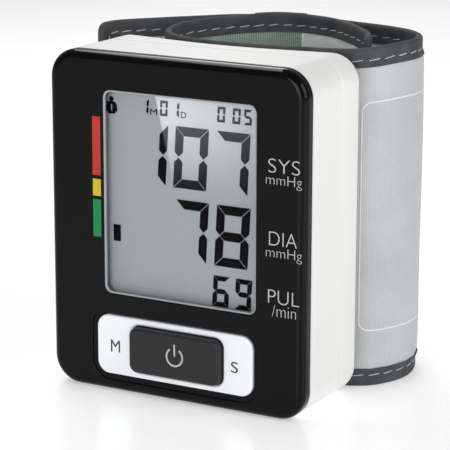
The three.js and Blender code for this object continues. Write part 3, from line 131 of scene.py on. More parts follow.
@dataclass(frozen=True)
class Finish:
    """What every finish has: a name, its colours and how the surface scatters light."""

    name: str
    light: str
    dark: str
    roughness: float = 0.4
    ior: float = 1.5
    metallic: float = 0.0
    specular: float = 0.5
    coat: float = 0.0
    sheen: float = 0.0
    patch_mm: float = 18.0
    grain_mm: float = 0.6
    grain_depth_mm: float = 0.01
    wear: float = 0.0
    worn_from: float = 0.52
    worn_to: float = 0.62
    gloss_swing: float = 0.15
    bump_strength: float = 0.6
    coat_roughness: float = 0.06

    def coordinates(self, tree: bpy.types.NodeTree) -> bpy.types.NodeSocket:
        """The place that patterns are drawn in: the piece's own object space, in metres."""
        return add(tree, "ShaderNodeTexCoord").outputs["Object"]

    def tint(self, tree: bpy.types.NodeTree, place: bpy.types.NodeSocket) -> bpy.types.NodeSocket:
        """Colour between dark and light by slow noise, one patch every patch_mm."""
        noise = add(tree, "ShaderNodeTexNoise", {
            "Vector": place, "Scale": 1 / (self.patch_mm * MM), "Detail": 3.0, "Roughness": 0.55,
        })
        return ramp(tree, noise.outputs["Fac"], [(0.25, self.dark), (0.75, self.light)])

    def relief(self, tree: bpy.types.NodeTree, place: bpy.types.NodeSocket) -> bpy.types.NodeSocket:
        """Height of the surface's grain from 0 to 1."""
        noise = add(tree, "ShaderNodeTexNoise", {
            "Vector": place, "Scale": 1 / (self.grain_mm * MM), "Detail": 2.0, "Roughness": 0.6,
        })
        return noise.outputs["Fac"]

    def worn(self, tree: bpy.types.NodeTree, colour: bpy.types.NodeSocket) -> bpy.types.NodeSocket:
        """Lightens the colour where the surface is sharply convex, by wear at the most.

        Args:
            tree: the material's node tree.
            colour: the colour of the unworn surface.

        Returns:
            The mixed colour.
        """
        edge = add(tree, "ShaderNodeNewGeometry")
        amount = add(tree, "ShaderNodeMapRange", {
            "Value": edge.outputs["Pointiness"], "From Min": self.worn_from, "From Max": self.worn_to,
            "To Max": self.wear,
        })
        return add(tree, "ShaderNodeMix", {
            "Factor": amount.outputs["Result"], "A": colour, "B": linear(PURE_WHITE),
        }, data_type="RGBA").outputs["Result"]

    def material(self) -> bpy.types.Material:
        """Makes the material.

        Returns:
            One principled surface with colour patches, uneven gloss and grain, each from a pattern.
        """
        found = bpy.data.materials.get(self.name)
        if found is not None:
            return found
        made = bpy.data.materials.new(self.name)
        made.use_nodes = True
        tree = made.node_tree
        tree.nodes.clear()
        place = self.coordinates(tree)
        height = self.relief(tree, place)
        gloss = add(tree, "ShaderNodeMapRange", {
            "Value": height,
            "To Min": max(0.02, self.roughness * (1 - self.gloss_swing)),
            "To Max": min(1.0, self.roughness * (1 + self.gloss_swing)),
        })
        bump = add(tree, "ShaderNodeBump", {
            "Height": height, "Strength": self.bump_strength, "Distance": self.grain_depth_mm * MM,
        })
        colour = self.tint(tree, place)
        if self.wear:
            colour = self.worn(tree, colour)
        shader = add(tree, "ShaderNodeBsdfPrincipled", {
            "Base Color": colour,
            "Roughness": gloss.outputs["Result"],
            "Normal": bump.outputs["Normal"],
            "Metallic": self.metallic,
            "Specular IOR Level": self.specular,
            "Coat Weight": self.coat,
            "Coat Roughness": self.coat_roughness,
            "Sheen Weight": self.sheen,
        })
        if not self.metallic:
            shader.inputs["IOR"].default_value = self.ior
        self.extra(shader)
        add(tree, "ShaderNodeOutputMaterial", {"Surface": shader.outputs["BSDF"]})
        return made

    def extra(self, shader: bpy.types.Node) -> None:
        """Settings that only some finishes have."""


@dataclass(frozen=True)
class Clear(Finish):
    """A clear moulded plate: mostly see-through, with a thin gloss."""

    alpha: float = 0.04

    def extra(self, shader: bpy.types.Node) -> None:
        """Lets most light straight through, as a flat plate does."""
        shader.inputs["Alpha"].default_value = self.alpha


@dataclass(frozen=True)
class Glowing(Finish):
    """A surface that also gives off white light of its own."""

    glow: float = 0.35

    def extra(self, shader: bpy.types.Node) -> None:
        """Sets the light that it gives off."""
        shader.inputs["Emission Color"].default_value = linear(PURE_WHITE)
        shader.inputs["Emission Strength"].default_value = self.glow


@dataclass(frozen=True)
class Ink(Finish):
    """Screen printed ink: a thin, nearly matte film with a very fine grain."""

    roughness: float = 0.5
    patch_mm: float = 2.0
    grain_mm: float = 0.3
    grain_depth_mm: float = 0.002


@dataclass(frozen=True)
class PaintedGlareFinish(Finish):
    """A surface behind the lens with a painted glare: paler right of a slanted line, where the reflector's
    light is painted into its colour.
    """

    painted_glare: str = "e8edf2"
    line_top: tuple[float, float] = (-6.41, 74.13)
    line_foot: tuple[float, float] = (-0.83, 51.17)
    fade_mm: float = 2.5
    soft_mm: float = 0.35
    thin_mm: tuple[float, float] = (-2.0, 24.0)
    thin_to: float = 0.4
    panel_mm: tuple[float, float] = (-20.0, 24.0)

    def tint(self, tree: bpy.types.NodeTree, place: bpy.types.NodeSocket) -> bpy.types.NodeSocket:
        """Base from dark to light across the panel, plus the painted glare.

        Args:
            tree: the material's node tree.
            place: object coordinates.

        Returns:
            The colour. The painted glare is 1 right of the line x = x0 + slope (z - z0), fades from the
            line's top end to fade_mm below its foot, and thins out to thin_to at the right.
        """
        axes = add(tree, "ShaderNodeSeparateXYZ", {"Vector": place})
        across, up = axes.outputs["X"], axes.outputs["Z"]
        (x0, z0), (x1, z1) = self.line_top, self.line_foot
        slope = (x1 - x0) / (z1 - z0)
        lean = add(tree, "ShaderNodeMath", {
            0: up, 1: -slope, 2: -(x0 - slope * z0) * MM,
        }, operation="MULTIPLY_ADD")
        past = add(tree, "ShaderNodeMath", {0: across, 1: lean.outputs[0]}, operation="ADD")
        side = add(tree, "ShaderNodeMapRange", {
            "Value": past.outputs[0], "From Min": -self.soft_mm * MM, "From Max": self.soft_mm * MM,
        }, interpolation_type="SMOOTHSTEP")
        fall = add(tree, "ShaderNodeMapRange", {
            "Value": up, "From Min": (z1 - self.fade_mm) * MM, "From Max": z0 * MM,
        }, interpolation_type="SMOOTHSTEP")
        thin = add(tree, "ShaderNodeMapRange", {
            "Value": across, "From Min": self.thin_mm[0] * MM, "From Max": self.thin_mm[1] * MM,
            "To Min": 1.0, "To Max": self.thin_to,
        })
        # Painted glare: a mask in the panel's own coordinates that lightens the colour.
        both = add(tree, "ShaderNodeMath", {0: side.outputs[0], 1: fall.outputs[0]}, operation="MULTIPLY")
        painted_glare = add(tree, "ShaderNodeMath", {0: both.outputs[0], 1: thin.outputs[0]}, operation="MULTIPLY")
        slow = add(tree, "ShaderNodeMapRange", {
            "Value": across, "From Min": self.panel_mm[0] * MM, "From Max": self.panel_mm[1] * MM,
        })
        base = ramp(tree, slow.outputs[0], [(0.0, self.dark), (1.0, self.light)])
        return add(tree, "ShaderNodeMix", {
            "Factor": painted_glare.outputs[0], "A": base, "B": linear(self.painted_glare),
        }, data_type="RGBA").outputs["Result"]


@dataclass(frozen=True)
class Cloth(Finish):
    """Woven, knitted or taped cloth, drawn on the piece's own map: u along the band, v up it, in metres."""

    along_mm: float = 0.5
    up_mm: float = 0.5
    twill: float = 0.0
    rib_share: float = 1.0
    fibre_share: float = 0.3
    patch_share: float = 0.35
    wobble_scale: float = 350.0
    wobble_mm: float = 0.12

    def coordinates(self, tree: bpy.types.NodeTree) -> bpy.types.NodeSocket:
        """The piece's own map."""
        return add(tree, "ShaderNodeUVMap", uv_map="cloth").outputs["UV"]

    def waves(self, tree: bpy.types.NodeTree, place: bpy.types.NodeSocket) -> bpy.types.NodeSocket:
        """Two sets of threads, the higher one showing.

        Args:
            tree: the material's node tree.
            place: the piece's map.

        Returns:
            From 0 to 1: one sine along u and one along v, turned by twill and shifted by slow noise,
            multiplied for a plain weave, or the first alone where rib_share is 1.
        """
        turned = add(tree, "ShaderNodeMapping", {
            "Vector": place, "Rotation": (0.0, 0.0, self.twill),
        })
        wobble = add(tree, "ShaderNodeTexNoise", {
            "Vector": place, "Scale": self.wobble_scale, "Detail": 2.0,
        })
        shift = add(tree, "ShaderNodeVectorMath", {
            0: wobble.outputs["Color"], 1: (self.wobble_mm * MM, self.wobble_mm * MM, 0.0),
            2: turned.outputs["Vector"],
        }, operation="MULTIPLY_ADD")
        axes = add(tree, "ShaderNodeSeparateXYZ", {"Vector": shift.outputs["Vector"]})
        found = []
        for name, pitch in (("X", self.along_mm), ("Y", self.up_mm)):
            phase = add(tree, "ShaderNodeMath", {
                0: axes.outputs[name], 1: 2 * math.pi / (pitch * MM),
            }, operation="MULTIPLY")
            sine = add(tree, "ShaderNodeMath", {0: phase.outputs[0]}, operation="SINE")
            found.append(add(tree, "ShaderNodeMapRange", {
                "Value": sine.outputs[0], "From Min": -1.0,
            }).outputs[0])
        woven = add(tree, "ShaderNodeMath", {0: found[0], 1: found[1]}, operation="MULTIPLY")
        return add(tree, "ShaderNodeMix", {
            "Factor": self.rib_share, "A": woven.outputs[0], "B": found[0],
        }).outputs["Result"]

    def relief(self, tree: bpy.types.NodeTree, place: bpy.types.NodeSocket) -> bpy.types.NodeSocket:
        """Height of the threads, roughened by fibre noise."""
        fibre = add(tree, "ShaderNodeTexNoise", {
            "Vector": place, "Scale": 1 / (self.grain_mm * MM), "Detail": 3.0,
        })
        return add(tree, "ShaderNodeMix", {
            "Factor": self.fibre_share, "A": self.waves(tree, place), "B": fibre.outputs["Fac"],
        }).outputs["Result"]

    def tint(self, tree: bpy.types.NodeTree, place: bpy.types.NodeSocket) -> bpy.types.NodeSocket:
        """Cloth's colour.

        Args:
            tree: the material's node tree.
            place: the piece's map.

        Returns:
            Dark between the threads and light on their tops, a painted shade that follows the threads'
            height, with slow patches over it.
        """
        slow = add(tree, "ShaderNodeTexNoise", {
            "Vector": place, "Scale": 1 / (self.patch_mm * MM), "Detail": 3.0,
        })
        both = add(tree, "ShaderNodeMix", {
            "Factor": self.patch_share, "A": self.relief(tree, place), "B": slow.outputs["Fac"],
        })
        # The ramp follows the threads' height: painted shade in the gaps between them.
        return ramp(tree, both.outputs["Result"], [(0.15, self.dark), (0.75, self.light)])


class Look(Enum):
    """The finishes of this object, named for what each real surface is."""

    # Glossy ABS from a polished mould: a dark, even face with narrow bright edge lines.
    GLOSS_BLACK = Finish(
        "gloss_black_abs", "020202", "010101", 0.08, specular=0.155, grain_mm=2.5, grain_depth_mm=0.003,
    )
    # Satin ABS with a fine spark erosion texture, drawn at 0.5 mm so that it shows.
    WHITE = Finish(
        "satin_white_abs", "e6e6e4", "e1e1df", 0.42, patch_mm=30, grain_mm=0.5, grain_depth_mm=0.005,
        wear=0.3,
    )
    # Silver lacquer over ABS: a pale plate with a faint metal sheen.
    SILVER = Finish(
        "silver_lacquered_abs", "f4f6fa", "eef1f5", 0.3, metallic=0.1, patch_mm=14, grain_mm=0.8,
        grain_depth_mm=0.001,
    )
    # Dark grey satin key cap.
    KEY = Finish(
        "dark_satin_key", "202022", "1d1d1f", 0.32, specular=0.3, grain_mm=0.5, grain_depth_mm=0.003,
        wear=0.05,
    )
    # Clear acrylic plate: a thin dark gloss over what lies behind.
    CLEAR = Clear("clear_acrylic", "26292b", "202325", 0.05, 1.49, grain_mm=3, grain_depth_mm=0.001)
    # The same plate's polished bevel, painted light grey: a painted highlight for the light that it
    # gathers, so it looks milky.
    BEVEL = Finish("acrylic_bevel_painted_highlight", "a6aaad", "9a9ea1", 0.25, 1.49, patch_mm=9, grain_mm=1)
    # Display glass behind its polariser, with a painted glare right of a slanted line.
    DISPLAY = PaintedGlareFinish(
        "display_glass_painted_glare", "a9aeb2", "a4a9ad", 0.45, specular=0.2, grain_mm=0.5, grain_depth_mm=0.002,
    )
    # Liquid crystal segments, nearly black and matte; the same painted glare lightens them right of the
    # slanted line.
    SEGMENT = PaintedGlareFinish(
        "dark_segments_painted_glare", "060607", "040405", 0.5, specular=0.03, painted_glare="64676a", grain_mm=0.5,
        grain_depth_mm=0.001,
    )
    # Screen printed inks.
    PRINT = Ink("white_screen_print", "b9bbbd", "b0b2b4")
    DARK_PRINT = Ink("dark_screen_print", "141517", "101113")
    RED = Ink("red_screen_print", "b9382f", "b2332a", 0.45, specular=0.2, patch_mm=4)
    YELLOW = Ink("yellow_screen_print", "ccb62a", "c4ae26", 0.45, specular=0.2, patch_mm=4)
    GREEN = Ink("green_screen_print", "1a884d", "177f47", 0.45, specular=0.2, patch_mm=4)
    # Natural moulded plastic of the inner pieces.
    INNER = Finish("natural_moulded_plastic", "d3d3cc", "c9c9c1", 0.55)
    # Black elastomer and foam.
    RUBBER = Finish("black_elastomer", "242424", "1a1a1a", 0.8, grain_mm=0.4, grain_depth_mm=0.03)
    # Green solder mask over a glass fibre board.
    BOARD = Finish("green_solder_mask", "24694a", "1a5538", patch_mm=3, grain_mm=0.8, grain_depth_mm=0.02)
    # Black epoxy of the chip and the buzzer.
    EPOXY = Finish("black_epoxy", "232326", "1a1a1c", 0.55, grain_mm=0.3)
    # Nickel plated steel: bright with fine drawing marks.
    STEEL = Finish(
        "nickel_plated_steel", "c6c9cd", "aeb2b6", 0.3, metallic=1.0, patch_mm=2, grain_mm=0.3,
        grain_depth_mm=0.004,
    )
    # Lacquered steel jacket of the cells, plain.
    JACKET = Finish(
        "lacquered_cell_jacket", "454b58", "353a45", 0.35, metallic=0.4, coat=0.2, patch_mm=6, grain_mm=0.8,
    )
    # Milky silicone tube.
    HOSE = Finish("silicone_tube", "dcdcd6", "cfcfc8", 0.45, 1.41, grain_mm=0.8)
    # Thin welded film.
    FILM = Finish("welded_film", "97999c", "8a8c8f", 0.5, patch_mm=6, grain_mm=1.2, grain_depth_mm=0.05)
    # Springy polypropylene sheet.
    SPRING = Finish("polypropylene_sheet", "e2e3df", "d8d9d5", 0.5, 1.49, grain_mm=1.0, grain_depth_mm=0.02)
    # Coated nylon outside: a fine plain weave, drawn at 0.5 mm so that it shows.
    NYLON = Cloth(
        "coated_grey_nylon", "cecfd0", "a2a3a6", 0.55, specular=0.25, sheen=0.1, patch_mm=12,
        grain_mm=0.35, grain_depth_mm=0.02, rib_share=0.0,
    )
    # Smooth light lining, its weave drawn at 0.5 mm too.
    PALE = Cloth(
        "pale_nylon_lining", "e6e7e7", "d6d8d8", 0.65, specular=0.25, sheen=0.1, patch_mm=10,
        grain_mm=0.35, grain_depth_mm=0.02, rib_share=0.0,
    )
    # Ribbed knit: ribs 0.62 mm apart that run up the band.
    KNIT = Cloth(
        "ribbed_green_grey_knit", "a6b8ad", "62756c", 0.8, specular=0.2, sheen=0.2, patch_mm=3,
        grain_mm=0.25, grain_depth_mm=0.1, along_mm=0.62, up_mm=0.4, rib_share=0.75,
    )
    # Woven edge tape with a fine diagonal rib, 0.5 mm apart.
    TAPE = Cloth(
        "woven_edge_tape", "66686b", "0c0d0e", 0.75, specular=0.15, sheen=0.03, patch_mm=5, grain_mm=0.4,
        grain_depth_mm=0.12, twill=0.5, rib_share=0.25,
    )
    # Spun polyester thread, its strands drawn at 0.2 mm.
    THREAD = Finish(
        "spun_polyester_thread", "d5d7d8", "b4b6b8", 0.6, sheen=0.2, patch_mm=0.6, grain_mm=0.2,
        grain_depth_mm=0.03,
    )
    # Printed line on the nylon.
    CLOTH_PRINT = Finish("pale_cloth_print", "dddfe2", "d6d8db", 0.6, patch_mm=2, grain_mm=0.3)
    # Hook tape, its hooks 0.9 mm apart.
    HOOK = Cloth(
        "hook_tape", "4a4b4f", "222326", 0.85, patch_mm=2, grain_mm=0.3, grain_depth_mm=0.25, along_mm=0.9,
        up_mm=0.9, rib_share=0.0,
    )
    # Opal acrylic of a light table, evenly lit from below.
    FLOOR = Glowing(
        "pale_studio_floor", "f4f4f4", "f2f2f2", 0.22, specular=0.35, patch_mm=400, grain_mm=40,
    )

    def put_on(self, obj: bpy.types.Object) -> None:
        """Gives the object this finish as its only one."""
        obj.data.materials.clear()
        obj.data.materials.append(self.value.material())


# Mesh tools

@contextmanager
def editing(mesh: bpy.types.Mesh) -> Iterator[bmesh.types.BMesh]:
    """Opens a mesh for work on its corners and faces, and writes the work back at the end.

    Args:
        mesh: the mesh to change.

    Returns:
        The open mesh, for a with statement.
    """
    work = bmesh.new()
    work.from_mesh(mesh)
    yield work
    work.to_mesh(mesh)
    work.free()


def link(name: str, data: bpy.types.ID) -> bpy.types.Object:
    """Makes an object of mesh, lamp or camera data and puts it into the scene, at the origin."""
    obj = bpy.data.objects.new(name, data)
    bpy.context.scene.collection.objects.link(obj)
    return obj


def stand(flat: np.ndarray, y: float | np.ndarray) -> np.ndarray:
    """Sets N x 2 front view points up at y; millimetres in, metres out."""
    return np.stack([flat[:, 0], np.broadcast_to(y, len(flat)), flat[:, 1]], axis=1) * MM


@dataclass
class Shape:
    """Corners and faces gathered from several patches, made one mesh at the end."""

    corners: list[np.ndarray] = field(default_factory=list)
    faces: list[np.ndarray] = field(default_factory=list)
    maps: list[np.ndarray] = field(default_factory=list)
    count: int = 0

    def _keep(self, points: np.ndarray, faces: np.ndarray, cloth: np.ndarray | None = None) -> None:
        """Stores one patch, with its faces numbered on from the patches before.

        Args:
            points: ... x 3 corners, in metres.
            faces: the corners' numbers, one row for each face.
            cloth: ... x 2 places on the cloth's map.
        """
        flat = points.reshape(-1, 3)
        self.corners.append(flat)
        self.faces.append(faces + self.count)
        self.maps.append(np.zeros((len(flat), 2)) if cloth is None else cloth.reshape(-1, 2))
        self.count += len(flat)

    def grid(
        self, points: np.ndarray, wrap: bool = False, flip: bool = False,
        keep: np.ndarray | None = None, cloth: np.ndarray | None = None,
    ) -> None:
        """Adds a grid of four sided faces, or many grids of one size.

        Args:
            points: ... x rows x columns x 3. Face (i, j) joins rows i, i+1 and columns j, j+1.
            wrap: the last column joins the first.
            flip: turns the faces over.
            keep: which faces there are, rows-1 x faces across; all if it isn't given.
            cloth: the map, rows x columns x 2.
        """
        rows, columns = points.shape[-3:-1]
        i = np.arange(rows - 1)[:, None]
        j = np.arange(columns if wrap else columns - 1)[None, :]
        after = (j + 1) % columns
        faces = np.stack([
            i * columns + j, i * columns + after, (i + 1) * columns + after, (i + 1) * columns + j,
        ], axis=-1)
        if keep is not None:
            faces = faces[keep]
        starts = np.arange(points.size // (3 * rows * columns)) * rows * columns
        faces = (faces.reshape(-1, 4) + starts[:, None, None]).reshape(-1, 4)
        self._keep(points, faces[:, ::-1] if flip else faces, cloth)

    def strip(self, first: np.ndarray, second: np.ndarray, wrap: bool = True) -> None:
        """Adds the faces between two lines of equally many points."""
        self.grid(np.stack([first, second]), wrap=wrap)

    def cap(self, ring: np.ndarray) -> None:
        """Closes a ring to its middle."""
        self.strip(ring, np.broadcast_to(ring.mean(axis=0), ring.shape))

    def disc(self, rings: np.ndarray) -> None:
        """Adds nested rings from the outside inwards, and closes the last one."""
        self.grid(rings, wrap=True)
        self.cap(rings[-1])

    def fill(
        self, loops: Sequence[np.ndarray], y: float | Callable[[np.ndarray], np.ndarray],
    ) -> None:
        """Fills the first loop, less the others, with triangles.

        A triangle stays if a ray from its middle crosses the loops an odd number of times.

        Args:
            loops: N x 2 outlines in millimetres; the first is the outside and the rest are holes.
            y: where the face stands, or a function that gives it for N x 2 points.
        """
        flat = np.concatenate(loops)
        starts = np.cumsum([0] + [len(loop) for loop in loops])
        after = np.concatenate([np.roll(np.arange(a, b), -1) for a, b in zip(starts[:-1], starts[1:])])
        edges = np.stack([np.arange(len(flat)), after], axis=1)
        points, _, faces, *_ = delaunay_2d_cdt([Vector(p) for p in flat], edges.tolist(), [], 0, 1e-9)
        placed = np.array([tuple(p) for p in points])
        faces = np.array([tuple(f) for f in faces])
        x, z = placed[faces].mean(axis=1).T[:, :, None]
        (x0, z0), (x1, z1) = flat.T, flat[after].T
        crossed = (z0 > z) != (z1 > z)
        run = np.where(z1 == z0, 1.0, z1 - z0)
        left = x < x0 + (x1 - x0) * (z - z0) / run
        inside = (crossed & left).sum(axis=1) % 2 == 1
        self._keep(stand(placed, y(placed) if callable(y) else y), faces[inside])

    def piece(
        self, name: str, look: Look, weld_mm: float = 0.0005, sharp_deg: float = 35.0,
        recalculate: bool = True, cloth: bool = False,
    ) -> bpy.types.Object:
        """Makes one object of all patches.

        Args:
            name: the piece's name.
            look: its finish.
            weld_mm: corners closer than this become one.
            sharp_deg: edges that turn more than this stay sharp.
            recalculate: turns all faces outwards, for a closed piece.
            cloth: keeps the map that the patches gave.

        Returns:
            The linked object, at the origin.
        """
        mesh = bpy.data.meshes.new(name)
        faces = [face for block in self.faces for face in block.tolist()]
        mesh.from_pydata(np.concatenate(self.corners).tolist(), [], faces)
        if cloth:
            spots = np.concatenate(self.maps)
            layer = mesh.uv_layers.new(name="cloth")
            index = np.zeros(len(mesh.loops), dtype=np.int32)
            mesh.loops.foreach_get("vertex_index", index)
            layer.uv.foreach_set("vector", spots[index].astype(np.float32).ravel())
        with editing(mesh) as work:
            bmesh.ops.remove_doubles(work, verts=work.verts, dist=weld_mm * MM)
            bmesh.ops.dissolve_degenerate(work, edges=work.edges, dist=weld_mm * MM)
            if recalculate:
                bmesh.ops.recalc_face_normals(work, faces=work.faces)
        mesh.shade_smooth()
        mesh.set_sharp_from_angle(angle=math.radians(sharp_deg))
        obj = link(name, mesh)
        look.put_on(obj)
        return obj


def even_out(obj: bpy.types.Object) -> None:
    """Lets large flat faces rule the shading next to small rounded ones."""
    weight = obj.modifiers.new("weighted_normals", "WEIGHTED_NORMAL")
    weight.keep_sharp = True


def declare(obj: bpy.types.Object, nodes: Sequence[str]) -> None:
    """Hides the solids that the piece replaces, and logs its face count.

    Args:
        obj: the piece, already on its body.
        nodes: the solids that it replaces.
    """
    if nodes:
        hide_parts(*nodes)
    log.info("%s: %d faces", obj.name, len(obj.data.polygons))


def settle(obj: bpy.types.Object, body: str, nodes: Sequence[str] = ()) -> None:
    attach(obj, body)
    declare(obj, nodes)


def rounded(radius: float, face: float, behind: int, steps: int) -> list[tuple[float, float]]:
    """A quarter circle from a wall over to a face.

    Args:
        radius: in millimetres.
        face: the face's y.
        behind: 1 if the wall lies behind the face as seen from the front, or -1.
        steps: how many faces.

    Returns:
        Pairs of how far a row has moved in from the wall, and its y: in = r (1 - cos a) and
        y = face + behind r (1 - sin a), for a from 0 to a right angle.
    """
    angle = np.linspace(0, math.pi / 2, steps + 1)
    return list(zip(radius * (1 - np.cos(angle)), face + behind * radius * (1 - np.sin(angle))))


@dataclass(frozen=True)
class Outline:
    """A rectangle with round corners, seen from the front, in millimetres."""

    width: float
    height: float
    radius: float
    x: float = 0.0
    z: float = 0.0
    steps: int = 12
    sides: tuple[float, ...] = ()
    least_radius: float = 0.05

    def grown(self, by: float) -> "Outline":
        """The same outline, larger by that much all round."""
        radius = max(self.radius + by, self.least_radius)
        return replace(self, width=self.width + 2 * by, height=self.height + 2 * by, radius=radius)

    def cut_at(self, places: Sequence[float], steps: int) -> "Outline":
        """The same outline with points along its sides.

        Args:
            places: each x that the upper and the lower side get a point at.
            steps: how many even spans the sides are split into besides.

        Returns:
            The new outline.
        """
        straight = self.width - 2 * self.radius
        shares = {round(i / steps, 6) for i in range(1, steps)}
        for place in places:
            share = (place - self.x + straight / 2) / straight
            shares |= {share, 1 - share}
        return replace(self, sides=tuple(sorted(shares)))

    def points(self) -> np.ndarray:
        """The outline's points.

        Returns:
            N x 2, counterclockwise from the right side's foot of the upper right corner. Corner k is its
            centre plus radius times (cos a, sin a), for a from k to k+1 right angles. Each side gets
            the points at its shares in between.
        """
        half = np.array([self.width / 2 - self.radius, self.height / 2 - self.radius])
        signs = np.array([[1, 1], [-1, 1], [-1, -1], [1, -1]])
        turns = np.linspace(0, math.pi / 2, self.steps + 1)[None, :]
        angle = turns + np.arange(4)[:, None] * math.pi / 2
        circles = self.radius * np.stack([np.cos(angle), np.sin(angle)], axis=-1)
        arcs = (signs * half)[:, None, :] + circles
        shares = np.array(self.sides)[None, :, None]
        ends, starts = arcs[:, -1:, :], np.roll(arcs, -1, axis=0)[:, :1, :]
        between = ends + (starts - ends) * shares
        return np.concatenate([arcs, between], axis=1).reshape(-1, 2) + [self.x, self.z]

    def nested(self, share: float) -> np.ndarray:
        """The outline's points, drawn in to that share of their way from its middle."""
        middle = np.array([self.x, self.z])
        return (self.points() - middle) * share + middle

    def ring(self, y: float | np.ndarray) -> np.ndarray:
        """The outline as N x 3 points at that y, in metres."""
        return stand(self.points(), y)

    def sections(self, rows: Sequence[tuple[float, float]]) -> np.ndarray:
        """Rings of the outline, each drawn in by a row's first number and standing at its second."""
        return np.stack([self.grown(-inset).ring(y) for inset, y in rows])


def circle(x: float, z: float, radius: float, count: int = 32) -> np.ndarray:
    """A circle's points: the middle plus radius times (cos a, sin a)."""
    angle = np.linspace(0, 2 * math.pi, count, endpoint=False)
    return np.stack([x + radius * np.cos(angle), z + radius * np.sin(angle)], axis=1)


def box(x0: float, x1: float, z0: float, z1: float) -> np.ndarray:
    """An upright rectangle's four corners."""
    return np.array([[x0, z0], [x1, z0], [x1, z1], [x0, z1]])


def drill(obj: bpy.types.Object, rods: Sequence[tuple[np.ndarray, np.ndarray]]) -> None:
    """Cuts rods out of a closed piece.

    Args:
        obj: the piece.
        rods: the two end rings of each rod, in metres.
    """
    shape = Shape()
    for ends in rods:
        shape.strip(*ends)
        for end in ends:
            shape.cap(end)
    cutter = shape.piece(f"{obj.name}_cutter", Look.WHITE)
    bore = obj.modifiers.new("bores", "BOOLEAN")
    bore.operation, bore.object, bore.solver = "DIFFERENCE", cutter, "EXACT"
    bpy.context.view_layer.update()
    graph = bpy.context.evaluated_depsgraph_get()
    cut = bpy.data.meshes.new_from_object(obj.evaluated_get(graph))
    obj.modifiers.clear()
    obj.data = cut
    bpy.data.objects.remove(cutter)


# The case

KEY_PLATE = Outline(43.3, 14.94, 3.2, z=11.92)


